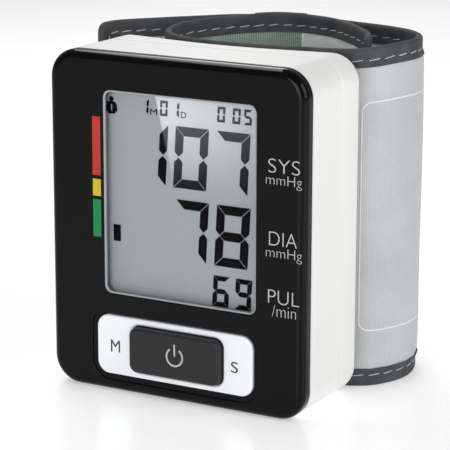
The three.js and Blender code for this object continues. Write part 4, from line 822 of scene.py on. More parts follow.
@dataclass
class Case:
    """Front bezel, middle case, back cover and battery door."""

    outline: Outline = Outline(70, 84, 7, z=42, steps=20)
    window: Outline = Outline(41.8, 50.2, 2, x=1.37, z=50.015, steps=10)
    plate: Outline = KEY_PLATE
    face: float = -11.5
    seam_front: float = -7.5
    seam_back: float = 7.5
    back: float = 18.3
    wall: float = 2.0
    face_wall: float = 1.2
    face_edge: float = 2.0
    rim: float = 0.25
    back_edge: float = 3.0
    edge_steps: int = 12
    rim_steps: int = 5
    seam_gap: float = 0.1
    seam_chamfer: float = 0.3
    moat: float = 1.6
    moat_depth: float = 0.35
    plate_gap: float = 0.3
    hollow: float = 4.1
    hollow_half: float = 29.0
    hollow_power: float = 1.5
    cover_rings: tuple[float, float, int] = (1.0, 0.04, 22)
    cover_lead: float = 2.0
    cavity_leads: tuple[float, float] = (3.0, 1.5)
    door: tuple[float, float, float, float] = (-3.5, 7.45, 17.45, 66.55)
    door_edge: float = 0.15
    notch: tuple[float, float, float, float] = (2.0, 67.45, 5.0, 0.9)
    screw_inset: float = 6.0
    screw_radius: float = 2.9
    screw_sink: float = 4.2
    overrun: float = 3.0

    def bezel(self) -> None:
        """The glossy face: a shallow tray with a rounded edge, the window and the sunk key plate seat."""
        seam = self.seam_front - self.seam_gap / 2
        inner, floor = self.face + self.face_wall, self.face + self.moat_depth
        seat, hole = self.plate.grown(self.moat), self.plate.grown(self.plate_gap)
        cavity = self.outline.grown(-self.wall)
        chamfer = [(self.seam_chamfer, seam), (0.0, seam - self.seam_chamfer)]
        edge = rounded(self.face_edge, self.face, 1, self.edge_steps)
        shape = Shape()
        shape.grid(self.outline.sections(chamfer + edge), wrap=True)
        rim = [(-m, y) for m, y in reversed(rounded(self.rim, self.face, 1, self.rim_steps))]
        for opening, depth in ((self.window, inner), (seat, floor)):
            shape.grid(opening.sections([*rim, (0.0, depth)]), wrap=True)
        openings = [opening.grown(self.rim).points() for opening in (self.window, seat)]
        shape.fill([self.outline.grown(-self.face_edge).points(), *openings], self.face)
        shape.fill([seat.points(), hole.points()], floor)
        shape.strip(hole.ring(floor), hole.ring(inner))
        shape.fill([cavity.points(), self.window.points(), hole.points()], inner)
        shape.strip(cavity.ring(inner), cavity.ring(seam))
        shape.strip(cavity.ring(seam), self.outline.grown(-self.seam_chamfer).ring(seam))
        obj = shape.piece("bezel_shell", Look.GLOSS_BLACK)
        even_out(obj)
        settle(obj, "case", ["front_bezel"])

    def middle(self) -> None:
        """The ring between bezel and back: two nested walls, with the doorway's faces left out."""
        front, back = self.seam_front + self.seam_gap / 2, self.seam_back - self.seam_gap / 2
        y0, y1, z0, z1 = self.door
        # The doorway lies in the middle of its side, so its shares are the same from either end.
        straight = self.outline.height / 2 - self.outline.radius
        low, high = ((z - self.outline.z + straight) / (2 * straight) for z in (z0, z1))
        ring = replace(self.outline, sides=(low, 0.3, 0.4, 0.5, 0.6, 0.7, high))
        rows = [
            (self.seam_chamfer, front), (0, front + self.seam_chamfer), (0, y0), (0, y0 / 2 + y1 / 2),
            (0, back - self.seam_chamfer), (self.seam_chamfer, back),
        ]
        outer = ring.sections(rows)
        inner = ring.sections([(self.wall, y) for _, y in rows])
        columns = outer.shape[1]
        x, z = outer[2, :, 0] / MM, outer[2, :, 2] / MM
        middle_z = (z + np.roll(z, -1)) / 2
        door = (x < -self.outline.width / 2 + SAME) & (middle_z > z0) & (middle_z < z1)
        keep = np.ones((len(rows) - 1, columns), dtype=bool)
        keep[2:, door] = False
        shape = Shape()
        shape.grid(outer, wrap=True, keep=keep)
        shape.grid(inner, wrap=True, flip=True, keep=keep)
        shape.strip(inner[0], outer[0])
        first, last = np.flatnonzero(door)[0], np.flatnonzero(door)[-1] + 1
        around = np.r_[last:columns, 0:first + 1]
        for line in (
            (2, slice(first, last + 1)), (-1, around), (slice(2, None), first), (slice(2, None), last),
        ):
            shape.strip(outer[line], inner[line], wrap=False)
        obj = shape.piece("middle_shell", Look.WHITE)
        y, z, radius, depth = self.notch
        spots = circle(y, z, radius)
        side = self.outline.width / 2
        drill(obj, [tuple(
            np.insert(spots, 0, -out, axis=1) * MM for out in (side + self.overrun, side - depth)
        )])
        even_out(obj)
        settle(obj, "case", ["mid_case"])

    def hollow_at(self, x: np.ndarray) -> np.ndarray:
        """Depth of the wrist hollow: full in the middle, running out smoothly at hollow_half."""
        return self.hollow * np.maximum(0, 1 - (x / self.hollow_half) ** 2) ** self.hollow_power

    def bent(self, flat: np.ndarray, y: float, share: float = 1.0) -> np.ndarray:
        """Front view points set up at y and pulled forwards by that share of the hollow."""
        return stand(flat, y - self.hollow_at(flat[:, 0]) * share)

    def cover(self) -> None:
        """The rear shell: its depth behind the seam shrinks with the hollow, and its edge is rounded."""
        front, inner = self.seam_back + self.seam_gap / 2, self.back - self.wall
        ring = replace(self.outline, sides=tuple(np.linspace(0, 1, 26)[1:-1]))
        cavity, chamfered = ring.grown(-self.wall), ring.grown(-self.seam_chamfer)

        def row(outline: Outline, y: float, deepest: float) -> np.ndarray:
            """One ring, pulled in by the hollow in proportion to its depth behind the seam."""
            share = max(0.0, y - self.seam_back) / (deepest - self.seam_back)
            return self.bent(outline.points(), y, share)

        rows = [
            (self.seam_chamfer, front), (0, front + self.seam_chamfer),
            (0, self.back - self.back_edge - self.cover_lead),
            *rounded(self.back_edge, self.back, -1, self.edge_steps),
        ]
        levels = [front, front + self.cavity_leads[0], inner - self.cavity_leads[1], inner]
        shares = np.linspace(*self.cover_rings)
        outside = [row(ring.grown(-m), y, self.back) for m, y in rows]
        inside = [row(cavity, y, inner) for y in levels]
        shape = Shape()
        for rings, end, y in (
            (outside, ring.grown(-self.back_edge), self.back), (inside, cavity, inner),
        ):
            shape.grid(np.stack(rings), wrap=True)
            shape.disc(np.stack([self.bent(end.nested(share), y) for share in shares]))
        shape.strip(row(cavity, front, inner), row(chamfered, front, self.back))
        obj = shape.piece("cover_shell", Look.WHITE)
        drill(obj, self.counterbores())
        even_out(obj)
        settle(obj, "case", ["back_cover"])

    def counterbores(self) -> list[tuple[np.ndarray, np.ndarray]]:
        """The four rods that sink the screw heads into the back.

        Returns:
            The two end rings of each rod, in metres.
        """
        half = self.outline.width / 2 - self.screw_inset
        rods = []
        for x in (-half, half):
            back = self.back - self.hollow_at(np.array(x))
            for z in (self.screw_inset, self.outline.height - self.screw_inset):
                flat = circle(x, z, self.screw_radius)
                rods.append((stand(flat, back - self.screw_sink), stand(flat, back + self.overrun)))
        return rods

    def door_panel(self) -> None:
        """The battery door: a copy of its solid with merged corners and softened edges."""
        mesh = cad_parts["battery_door"].data.copy()
        with editing(mesh) as work:
            bmesh.ops.remove_doubles(work, verts=work.verts, dist=SAME * MM)
            bmesh.ops.dissolve_limit(work, angle_limit=math.radians(1), verts=work.verts, edges=work.edges)
            bmesh.ops.recalc_face_normals(work, faces=work.faces)
        obj = link("door_panel", mesh)
        bevel = obj.modifiers.new("soft_edges", "BEVEL")
        bevel.width, bevel.segments, bevel.limit_method = self.door_edge * MM, 2, "ANGLE"
        mesh.shade_smooth()
        even_out(obj)
        Look.WHITE.put_on(obj)
        settle(obj, "battery_door", ["battery_door"])

    def build(self) -> None:
        """Builds the four shells."""
        self.bezel()
        self.middle()
        self.cover()
        self.door_panel()


# The keys

@dataclass
class Keys:
    """The rocking key plate with its printed signs, and the power key in its middle."""

    plate: Outline = KEY_PLATE
    key: Outline = Outline(25.1, 11.3, 2.1, x=0.85, z=11.92)
    plate_front: float = -11.8
    plate_depth: float = 1.6
    plate_edge: float = 0.4
    key_front: float = -13.5
    key_foot: float = -9.0
    key_edge: float = 0.65
    gap: float = 0.3
    rim: float = 0.4
    rim_slope: float = 0.9
    dish: float = 0.18
    memory_box: tuple[float, float, float, float] = (-17.78, -15.17, 10.16, 13.24)
    set_box: tuple[float, float, float, float] = (15.93, 17.83, 10.08, 12.82)
    letter_lift: float = 0.03
    power_place: tuple[float, float] = (1.2, 11.95)
    power_lift: float = 0.04

    def key_plate(self) -> None:
        """The plate: rounded outside, with a bevelled rim that slopes down to the key's opening."""
        front, back = self.plate_front, self.plate_front + self.plate_depth
        hole = self.key.grown(self.gap)
        bevel = hole.grown(self.rim)
        sink = front + self.rim * self.rim_slope
        shape = Shape()
        shape.grid(self.plate.sections([(0.0, back), *rounded(self.plate_edge, front, 1, 6)]), wrap=True)
        shape.fill([self.plate.grown(-self.plate_edge).points(), bevel.points()], front)
        shape.grid(np.stack([bevel.ring(front), hole.ring(sink), hole.ring(back)]), wrap=True)
        shape.fill([self.plate.points(), hole.points()], back)
        obj = shape.piece("rocker_plate", Look.SILVER, sharp_deg=30)
        even_out(obj)
        settle(obj, "key_plate", ["key_plate"])

    def key_face(self, flat: np.ndarray) -> np.ndarray:
        """The key's face.

        Args:
            flat: N x 2 front view points.

        Returns:
            Their y: the key's front, dished by dish (1 - u^2)^2 (1 - w^2)^2, u and w from -1 to 1
            across the face.
        """
        half = np.array([self.key.width, self.key.height]) / 2 - self.key_edge
        share = np.clip((flat - [self.key.x, self.key.z]) / half, -1, 1)
        return self.key_front + self.dish * ((1 - share ** 2) ** 2).prod(axis=-1)

    def power_key(self) -> None:
        """The key: a rounded block whose face is dished by a fraction of a millimetre."""
        # Points along the sides let the face follow the dish.
        block = replace(self.key, sides=tuple(np.linspace(0.06, 0.94, 17)))
        top = block.grown(-self.key_edge)
        edge = rounded(self.key_edge, self.key_front, 1, 10)
        shape = Shape()
        shape.grid(block.sections([(0.0, self.key_foot), *edge]), wrap=True)
        rings = [top.nested(share) for share in np.linspace(1, 0.05, 14)]
        shape.disc(np.stack([stand(flat, self.key_face(flat)) for flat in rings]))
        shape.fill([block.points()], self.key_foot)
        settle(shape.piece("power_key_cap", Look.KEY), "power_key", ["power_key"])

    def build(self) -> None:
        """Builds both keys and their signs."""
        self.key_plate()
        self.power_key()
        signs = Signs()
        for name, letter, place in (("sign_memory", "M", self.memory_box), ("sign_set", "S", self.set_box)):
            y = self.plate_front - self.letter_lift
            signs.word(name, letter, place, y, Look.DARK_PRINT, "key_plate")
        signs.power("sign_power", self.power_place, lambda flat: self.key_face(flat) - self.power_lift)


# Printed signs and display segments

@dataclass
class Signs:
    """Flat pieces of ink or liquid crystal, drawn in the front view and given a small thickness."""

    thickness: float = 0.05
    thinning: float = 0.0
    power_radius: float = 2.2
    power_stroke: float = 0.45
    power_gap_deg: float = 70.0
    power_bar: tuple[float, float] = (0.2, 3.2)

    def plate(
        self, name: str, loops: Sequence[Sequence[np.ndarray]],
        y: float | Callable[[np.ndarray], np.ndarray], look: Look, body: str, slot: str,
    ) -> None:
        """Makes one piece of several flat outlines; each patch has a front, a back and a rim.

        Args:
            name: the piece's name.
            loops: for each patch its outline and its holes, N x 2 in millimetres.
            y: the front face, or a function that gives it for N x 2 points.
            look: its finish.
            body: the body that it rides on.
            slot: not used.
        """
        def front(flat: np.ndarray) -> np.ndarray:
            """The front face's y over those points."""
            return y(flat) if callable(y) else np.full(len(flat), y)

        def back(flat: np.ndarray) -> np.ndarray:
            """The back face's y, one thickness behind."""
            return front(flat) + self.thickness

        shape = Shape()
        for group in loops:
            for side in (front, back):
                shape.fill(group, side)
            for loop in group:
                shape.strip(stand(loop, front(loop)), stand(loop, back(loop)))
        settle(shape.piece(name, look, weld_mm=0.0001, sharp_deg=30), body)

    def word(
        self, name: str, text: str, place: tuple[float, float, float, float], y: float, look: Look,
        body: str,
    ) -> None:
        """Sets a word into a box of the front view, as a thin closed mesh stretched to fill it.

        Args:
            name: the piece's name.
            text: what it says.
            place: lowest and highest x, lowest and highest z, in millimetres.
            y: the front face.
            look: its finish.
            body: the body that it rides on.
        """
        curve = bpy.data.curves.new(name, "FONT")
        curve.body = text
        curve.extrude = 0.5
        curve.offset = -self.thinning
        holder = bpy.data.objects.new(name, curve)
        mesh = bpy.data.meshes.new_from_object(holder)
        bpy.data.objects.remove(holder)
        flat = np.zeros(len(mesh.vertices) * 3, dtype=np.float32)
        mesh.vertices.foreach_get("co", flat)
        flat = flat.reshape(-1, 3).astype(float)
        low, high = flat.min(axis=0), flat.max(axis=0)
        share = (flat - low) / (high - low)
        x0, x1, z0, z1 = place
        placed = np.stack([
            x0 + (x1 - x0) * share[:, 0],
            y + self.thickness * (1 - share[:, 2]),
            z0 + (z1 - z0) * share[:, 1],
        ], axis=1) * MM
        mesh.vertices.foreach_set("co", placed.astype(np.float32).ravel())
        with editing(mesh) as work:
            bmesh.ops.remove_doubles(work, verts=work.verts, dist=0.0005 * MM)
            bmesh.ops.recalc_face_normals(work, faces=work.faces)
        obj = link(name, mesh)
        look.put_on(obj)
        settle(obj, body)

    def power(
        self, name: str, middle: tuple[float, float], y: Callable[[np.ndarray], np.ndarray],
    ) -> None:
        """The usual on and off sign: a ring open at the top and a bar through the gap.

        Args:
            name: the piece's name.
            middle: the ring's centre in the front view.
            y: gives the front face for N x 2 points.
        """
        half, gap = self.power_stroke / 2, self.power_gap_deg / 2
        angle = np.radians(np.linspace(90 + gap, 450 - gap, 60))
        turn = np.stack([np.cos(angle), np.sin(angle)], axis=1)
        sides = [turn * (self.power_radius + half), (turn * (self.power_radius - half))[::-1]]
        arc = np.concatenate(sides) + middle
        bar = box(-half, half, *self.power_bar) + middle
        self.plate(name, [[arc], [bar]], y, Look.PRINT, "power_key", "dark_plastic")


SEGMENTS = {
    "0": "abcdef", "1": "bc", "5": "acdfg", "6": "acdefg", "7": "abc", "8": "abcdefg", "9": "abcdfg",
}
# Width, height and boldness of the display's three sizes of figure.
WIDE, SMALL, TINY = (9.03, 14.95, 1.0), (4.4, 7.6, 1.08), (2.1, 3.7, 1.1)
# Each reading: its foot, its figures' size, and each figure with the place of its left edge.
READINGS = {
    "reading_systolic": (52.7, WIDE, (("1", -12.71), ("0", -1.59), ("7", 9.53))),
    "reading_diastolic": (34.95, WIDE, (("7", -1.6), ("8", 9.64))),
    "reading_pulse": (24.93, SMALL, (("6", 9.13), ("9", 15.2))),
    "reading_date": (
        69.7, TINY, (("1", -10.45), ("0", -5.2), ("1", -2.05), ("0", 10.4), ("0", 14.5), ("5", 17.5)),
    ),
}
# The user sign: a head over a chest with the figure 1 cut out of it.
USER_HEAD = circle(-18.7, 72.55, 0.62, 28)
USER_CHEST = np.array([
    [-20.35, 69.45], [-20.3, 70.9], [-19.95, 71.7], [-19.35, 71.95], [-18.05, 71.95], [-17.5, 71.7],
    [-17.15, 70.9], [-17.05, 69.45], [-17.6, 69.45], [-17.7, 68.95], [-19.6, 68.95], [-19.75, 69.45],
])
USER_ONE = np.array([
    [-18.82, 69.7], [-18.5, 69.7], [-18.5, 71.3], [-18.75, 71.3], [-19.0, 71.05], [-18.82, 70.95],
])


@dataclass
class Display:
    """Lens, panel, its segments, and the print on the face around them."""

    panel_front: float = -8.9
    segment_lift: float = 0.07
    slant: float = 0.056
    gap_share: float = 0.11 / 15
    stroke_share: float = 0.15
    cursor: tuple[float, float, float, float] = (-18.46, -16.39, 37.53, 41.67)
    bar_sides: tuple[float, float] = (-22.62, -20.35)
    # The border's cross section: inset from the window's edge and depth behind the face.
    border: tuple[tuple[float, float], ...] = (
        (-0.02, 0.2), (0.04, 0.08), (0.1, 0.06), (0.42, 0.3), (0.36, 0.46), (0.06, 1.38), (-0.02, 1.38),
    )

    def digit(
        self, figure: str, x: float, z: float, width: float, height: float, bold: float,
    ) -> list[list[np.ndarray]]:
        """The lit segments of one figure.

        Args:
            figure: the figure.
            x: left edge at the foot, in millimetres.
            z: the foot.
            width: across, at one height.
            height: from foot to top.
            bold: how much wider than usual its strokes are.

        Returns:
            One outline for each lit segment. In the upright box a segment is a bar whose ends are cut at
            45 degrees, shrunk by the gap, and every point then leans right by slant times its height.
        """
        t, g = height * self.stroke_share * bold, height * self.gap_share
        w, h, m, half = width, height, height / 2, t / 2
        flat = {
            "a": [(g, h), (w - g, h), (w - t - g, h - t), (t + g, h - t)],
            "b": [
                (w, h - g), (w, m + g + half), (w - half, m + g), (w - t, m + g + half),
                (w - t, h - t - g),
            ],
            "c": [(w, g), (w - t, t + g), (w - t, m - g - half), (w - half, m - g), (w, m - g - half)],
            "d": [(g, 0), (t + g, t), (w - t - g, t), (w - g, 0)],
            "e": [(0, g), (0, m - g - half), (half, m - g), (t, m - g - half), (t, t + g)],
            "f": [(0, h - g), (t, h - t - g), (t, m + g + half), (half, m + g), (0, m + g + half)],
            "g": [
                (half + g, m), (t + g, m + half), (w - t - g, m + half), (w - half - g, m),
                (w - t - g, m - half), (t + g, m - half),
            ],
        }
        found = []
        for letter in SEGMENTS[figure]:
            spots = np.array(flat[letter], dtype=float)
            spots[:, 0] += self.slant * spots[:, 1]
            found.append([spots + [x, z]])
        return found

    def segments(self) -> None:
        """The three readings, the date row, the user sign and the range cursor."""
        signs = Signs()
        y = self.panel_front - self.segment_lift
        plates = {
            name: [loops for figure, x in figures for loops in self.digit(figure, x, z, *size)]
            for name, (z, size, figures) in READINGS.items()
        }
        plates["range_cursor"] = [[box(*self.cursor)]]
        plates["user_sign"] = [[USER_HEAD], [USER_CHEST, USER_ONE]]
        for name, loops in plates.items():
            signs.plate(name, loops, y, Look.SEGMENT, "case", "lcd_glass")
        for name, letter, place in (
            ("month_sign", "M", (-7.83, -5.95, 69.7, 71.15)), ("day_sign", "D", (0.63, 2.06, 69.7, 71.2)),
        ):
            signs.word(name, letter, place, y, Look.SEGMENT, "case")

    def face_print(self) -> None:
        """The range bar and the words beside the window, screen printed on the face."""
        signs = Signs(thickness=0.02, thinning=0.018)
        y = Case().face - signs.thickness
        for name, low, high, look in (
            ("bar_high", 53.98, 68.4, Look.RED), ("bar_raised", 48.86, 53.03, Look.YELLOW),
            ("bar_normal", 38.7, 47.97, Look.GREEN),
        ):
            signs.plate(name, [[box(*self.bar_sides, low, high)]], y, look, "case", "black_gloss")
        words = {
            "label_systolic": ("SYS", (25.37, 33.65, 59.86, 63.15)),
            "label_systolic_unit": ("mmHg", (24.87, 34.21, 56.34, 59.4)),
            "label_diastolic": ("DIA", (25.76, 33.07, 42.6, 45.9)),
            "label_diastolic_unit": ("mmHg", (25.0, 34.41, 39.0, 42.11)),
            "label_pulse": ("PUL", (25.61, 33.8, 28.6, 31.9)),
            "label_pulse_unit": ("/min", (26.69, 33.01, 25.51, 28.42)),
        }
        for name, (text, place) in words.items():
            signs.word(name, text, place, y, Look.PRINT, "case")

    def bevel(self) -> None:
        """The lens's raised and bevelled border: a ring that fills the window's edge nearly to the face."""
        case = Case()
        rows = [(inset, case.face + depth) for inset, depth in (*self.border, self.border[0])]
        shape = Shape()
        shape.grid(case.window.sections(rows), wrap=True)
        # The ring's light grey finish is a painted highlight.
        settle(shape.piece("lens_bevel", Look.BEVEL, sharp_deg=30), "case")

    def build(self) -> None:
        """Dresses the lens and the panel, and adds the border, the segments and the print."""
        self.bevel()
        Look.CLEAR.put_on(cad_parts["display_lens"])
        Look.DISPLAY.put_on(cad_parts["lcd_panel"])
        self.segments()
        self.face_print()


# The cuff

def catmull(points: np.ndarray, samples: int = 60) -> np.ndarray:
    """A centripetal Catmull-Rom curve through the points.

    Args:
        points: N x D.
        samples: how many steps for each span.

    Returns:
        The dense line. Knots are the square root of the chord apart, and each span is the cubic whose
        end slopes come from its neighbours' chords.
    """
    padded = np.concatenate([2 * points[:1] - points[1:2], points, 2 * points[-1:] - points[-2:-1]])
    step = np.sqrt(np.linalg.norm(np.diff(padded, axis=0), axis=1))[:, None]
    p0, p1, p2, p3 = padded[:-3], padded[1:-2], padded[2:-1], padded[3:]
    d0, d1, d2 = step[:-2], step[1:-1], step[2:]
    m1 = ((p1 - p0) / d0 - (p2 - p0) / (d0 + d1) + (p2 - p1) / d1) * d1
    m2 = ((p2 - p1) / d1 - (p3 - p1) / (d1 + d2) + (p3 - p2) / d2) * d1
    t = np.linspace(0, 1, samples, endpoint=False)[None, :, None]
    terms = (p1, m1, -3 * p1 + 3 * p2 - 2 * m1 - m2, 2 * p1 - 2 * p2 + m1 + m2)
    a, b, c, d = (term[:, None, :] for term in terms)
    spans = a + t * (b + t * (c + t * d))
    return np.concatenate([spans.reshape(-1, points.shape[1]), points[-1:]])


def running(points: np.ndarray) -> np.ndarray:
    """Distance of each point from the first one, along the line."""
    return np.concatenate([[0], np.cumsum(np.linalg.norm(np.diff(points, axis=0), axis=1))])


# The band's middle line, chosen and set against the photograph: x in shares of the cuff's width,
# y behind the case in shares of its reach, and z of the top edge in shares of its height. First comes the
# inner end, then the stretch behind the case (x alone, in shares of the case's width), the bulge at the
# right, and the tail's free end.
BAND_INNER = np.array([
    [0.369, 0.255, 1.006], [0.336, 0.405, 1.011], [0.254, 0.572, 1.016], [0.167, 0.722, 1.016],
    [0.095, 0.792, 1.016], [0.018, 0.817, 1.016], [-0.06, 0.782, 1.016], [-0.143, 0.662, 1.012],
    [-0.23, 0.487, 1.005], [-0.274, 0.292, 0.998], [-0.26, 0.122, 0.991], [-0.208, 0.032, 0.986],
])
BAND_NEAR = np.array([-0.13, 0, 0.13, 0.26, 0.37])
BAND_BULGE = np.array([
    [0.375, 0.068, 0.988], [0.425, 0.135, 0.993], [0.458, 0.245, 0.999], [0.477, 0.372, 1.001],
    [0.474, 0.492, 1.001], [0.452, 0.622, 1.002], [0.406, 0.707, 1.004], [0.351, 0.765, 1.004],
    [0.286, 0.807, 1.004], [0.202, 0.845, 1.004],
])
BAND_TAIL = np.array([
    [-0.19, 0.765, 1.004], [-0.277, 0.6, 1.003], [-0.386, 0.365, 1.002], [-0.464, 0.192, 1],
    [-0.481, 0.037, 0.998],
])


@dataclass
class Band:
    """The middle surface of the cuff's band, as the solids have it."""

    height: float = 85.6
    span: float = 84.0
    reach: float = 40.0
    back: float = 18.3
    half: float = 1.325
    tape_outer: float = 1.775
    gap: float = 0.3
    wrap_clearance: float = 0.3
    corner: float = 2.5
    pinch: float = 0.62
    pinch_depth: tuple[float, float] = (2.6, 5.9)
    near_top: float = 0.985
    wrapped_top: float = 1.004
    hinge_share: float = 0.66
    probe: float = 0.4
    line: np.ndarray = field(init=False)
    along: np.ndarray = field(init=False)
    length: float = field(init=False)
    hinge: float = field(init=False)

    def __post_init__(self) -> None:
        """Builds the middle line from the inner end to the tail's end, and finds the hinge on it."""
        size = np.array([self.span, self.reach, self.height])
        parts = (BAND_INNER, BAND_BULGE, BAND_TAIL)
        inner, bulge, tail = (part * size + [0, self.back, 0] for part in parts)
        case = Case()
        x = BAND_NEAR * case.outline.width
        near_y = self.back - case.hollow_at(x) + self.gap + self.tape_outer
        near = np.stack([x, near_y, np.full(len(x), self.near_top * self.height)], axis=1)
        self.line = catmull(np.concatenate([inner, near, bulge, self.wrapped(inner), tail]))
        self.along = running(self.line)
        self.length = float(self.along[-1])
        past = (self.along > self.length / 3) & (self.line[:, 0] > 0)
        past &= self.line[:, 1] > self.back + self.hinge_share * self.reach
        self.hinge = float(self.along[np.flatnonzero(past)[0]])

    def wrapped(self, inner: np.ndarray) -> np.ndarray:
        """Points of the tail where it lies on the inner end: one band and a clearance further out.

        Args:
            inner: the inner end's points.

        Returns:
            Five points at half steps of the inner end's curve, moved along its outward normal.
        """
        samples = 60
        fine = catmull(inner, samples)
        index = (np.arange(4, 6.5, 0.5) * samples).astype(int)
        tangent = (fine[index + 1] - fine[index - 1])[:, :2]
        tangent /= np.linalg.norm(tangent, axis=1, keepdims=True)
        out = np.stack([tangent[:, 1], -tangent[:, 0]], axis=1)
        flat = fine[index, :2] + (2 * self.tape_outer + self.wrap_clearance) * out
        return np.column_stack([flat, np.full(len(flat), self.wrapped_top * self.height)])

    def point(self, distance: np.ndarray) -> np.ndarray:
        """Points of the middle line at those distances, held to its ends."""
        inside = np.clip(distance, 0, self.length)
        return np.stack([np.interp(inside, self.along, self.line[:, k]) for k in range(3)], axis=-1)

    def normal(self, distance: np.ndarray) -> np.ndarray:
        """Outward directions in plan.

        Args:
            distance: along the band.

        Returns:
            ... x 2 unit vectors, square to the line from one probe behind to one probe ahead.
        """
        inside = np.clip(distance, 0, self.length)
        tangent = (self.point(inside + self.probe) - self.point(inside - self.probe))[..., :2]
        tangent /= np.linalg.norm(tangent, axis=-1, keepdims=True)
        return np.stack([tangent[..., 1], -tangent[..., 0]], axis=-1)

    def surface(self, distance: np.ndarray, up: np.ndarray, offset: np.ndarray) -> np.ndarray:
        """Points of the band.

        Args:
            distance: along the band.
            up: above the band's foot, as on the band laid flat.
            offset: out of the middle surface.

        Returns:
            ... x 3 in metres: the middle line's point, moved along its normal, at the height that lies
            up / height of the way from the foot to the top edge. The foot rises where the top is higher
            than the band, so the band keeps its width.
        """
        point, normal = self.point(distance), self.normal(distance)
        foot = np.maximum(0, point[..., 2] - self.height)
        z = foot + up / self.height * (point[..., 2] - foot)
        x, y = (point[..., k] + offset * normal[..., k] for k in range(2))
        return np.stack(np.broadcast_arrays(x, y, z), axis=-1) * MM

    def core(self, depth: np.ndarray) -> np.ndarray:
        """Half the band's thickness: pinched by the seam and full behind it.

        Args:
            depth: how far in from the band's edge.

        Returns:
            From pinch to half, by the smooth step t^2 (3 - 2 t) over pinch_depth.
        """
        first, last = self.pinch_depth
        t = np.clip((depth - first) / (last - first), 0, 1)
        return self.pinch + (self.half - self.pinch) * t * t * (3 - 2 * t)

    def to_end(self, distance: np.ndarray) -> np.ndarray:
        """How far it is to the nearer end of the band."""
        return np.minimum(distance, self.length - distance)


class Side(Enum):
    """The two faces of the band: away from the wrist and towards it."""

    OUT = 1
    IN = -1


@dataclass(frozen=True)
class Stretch:
    """A part of the band between two distances that rides on one body, or, at the hinge, on none."""

    name: str
    start: float
    stop: float
    body: str | None = None

    def holds(self, distance: np.ndarray) -> np.ndarray:
        """Which distances lie in it."""
        return (distance >= self.start) & (distance < self.stop)


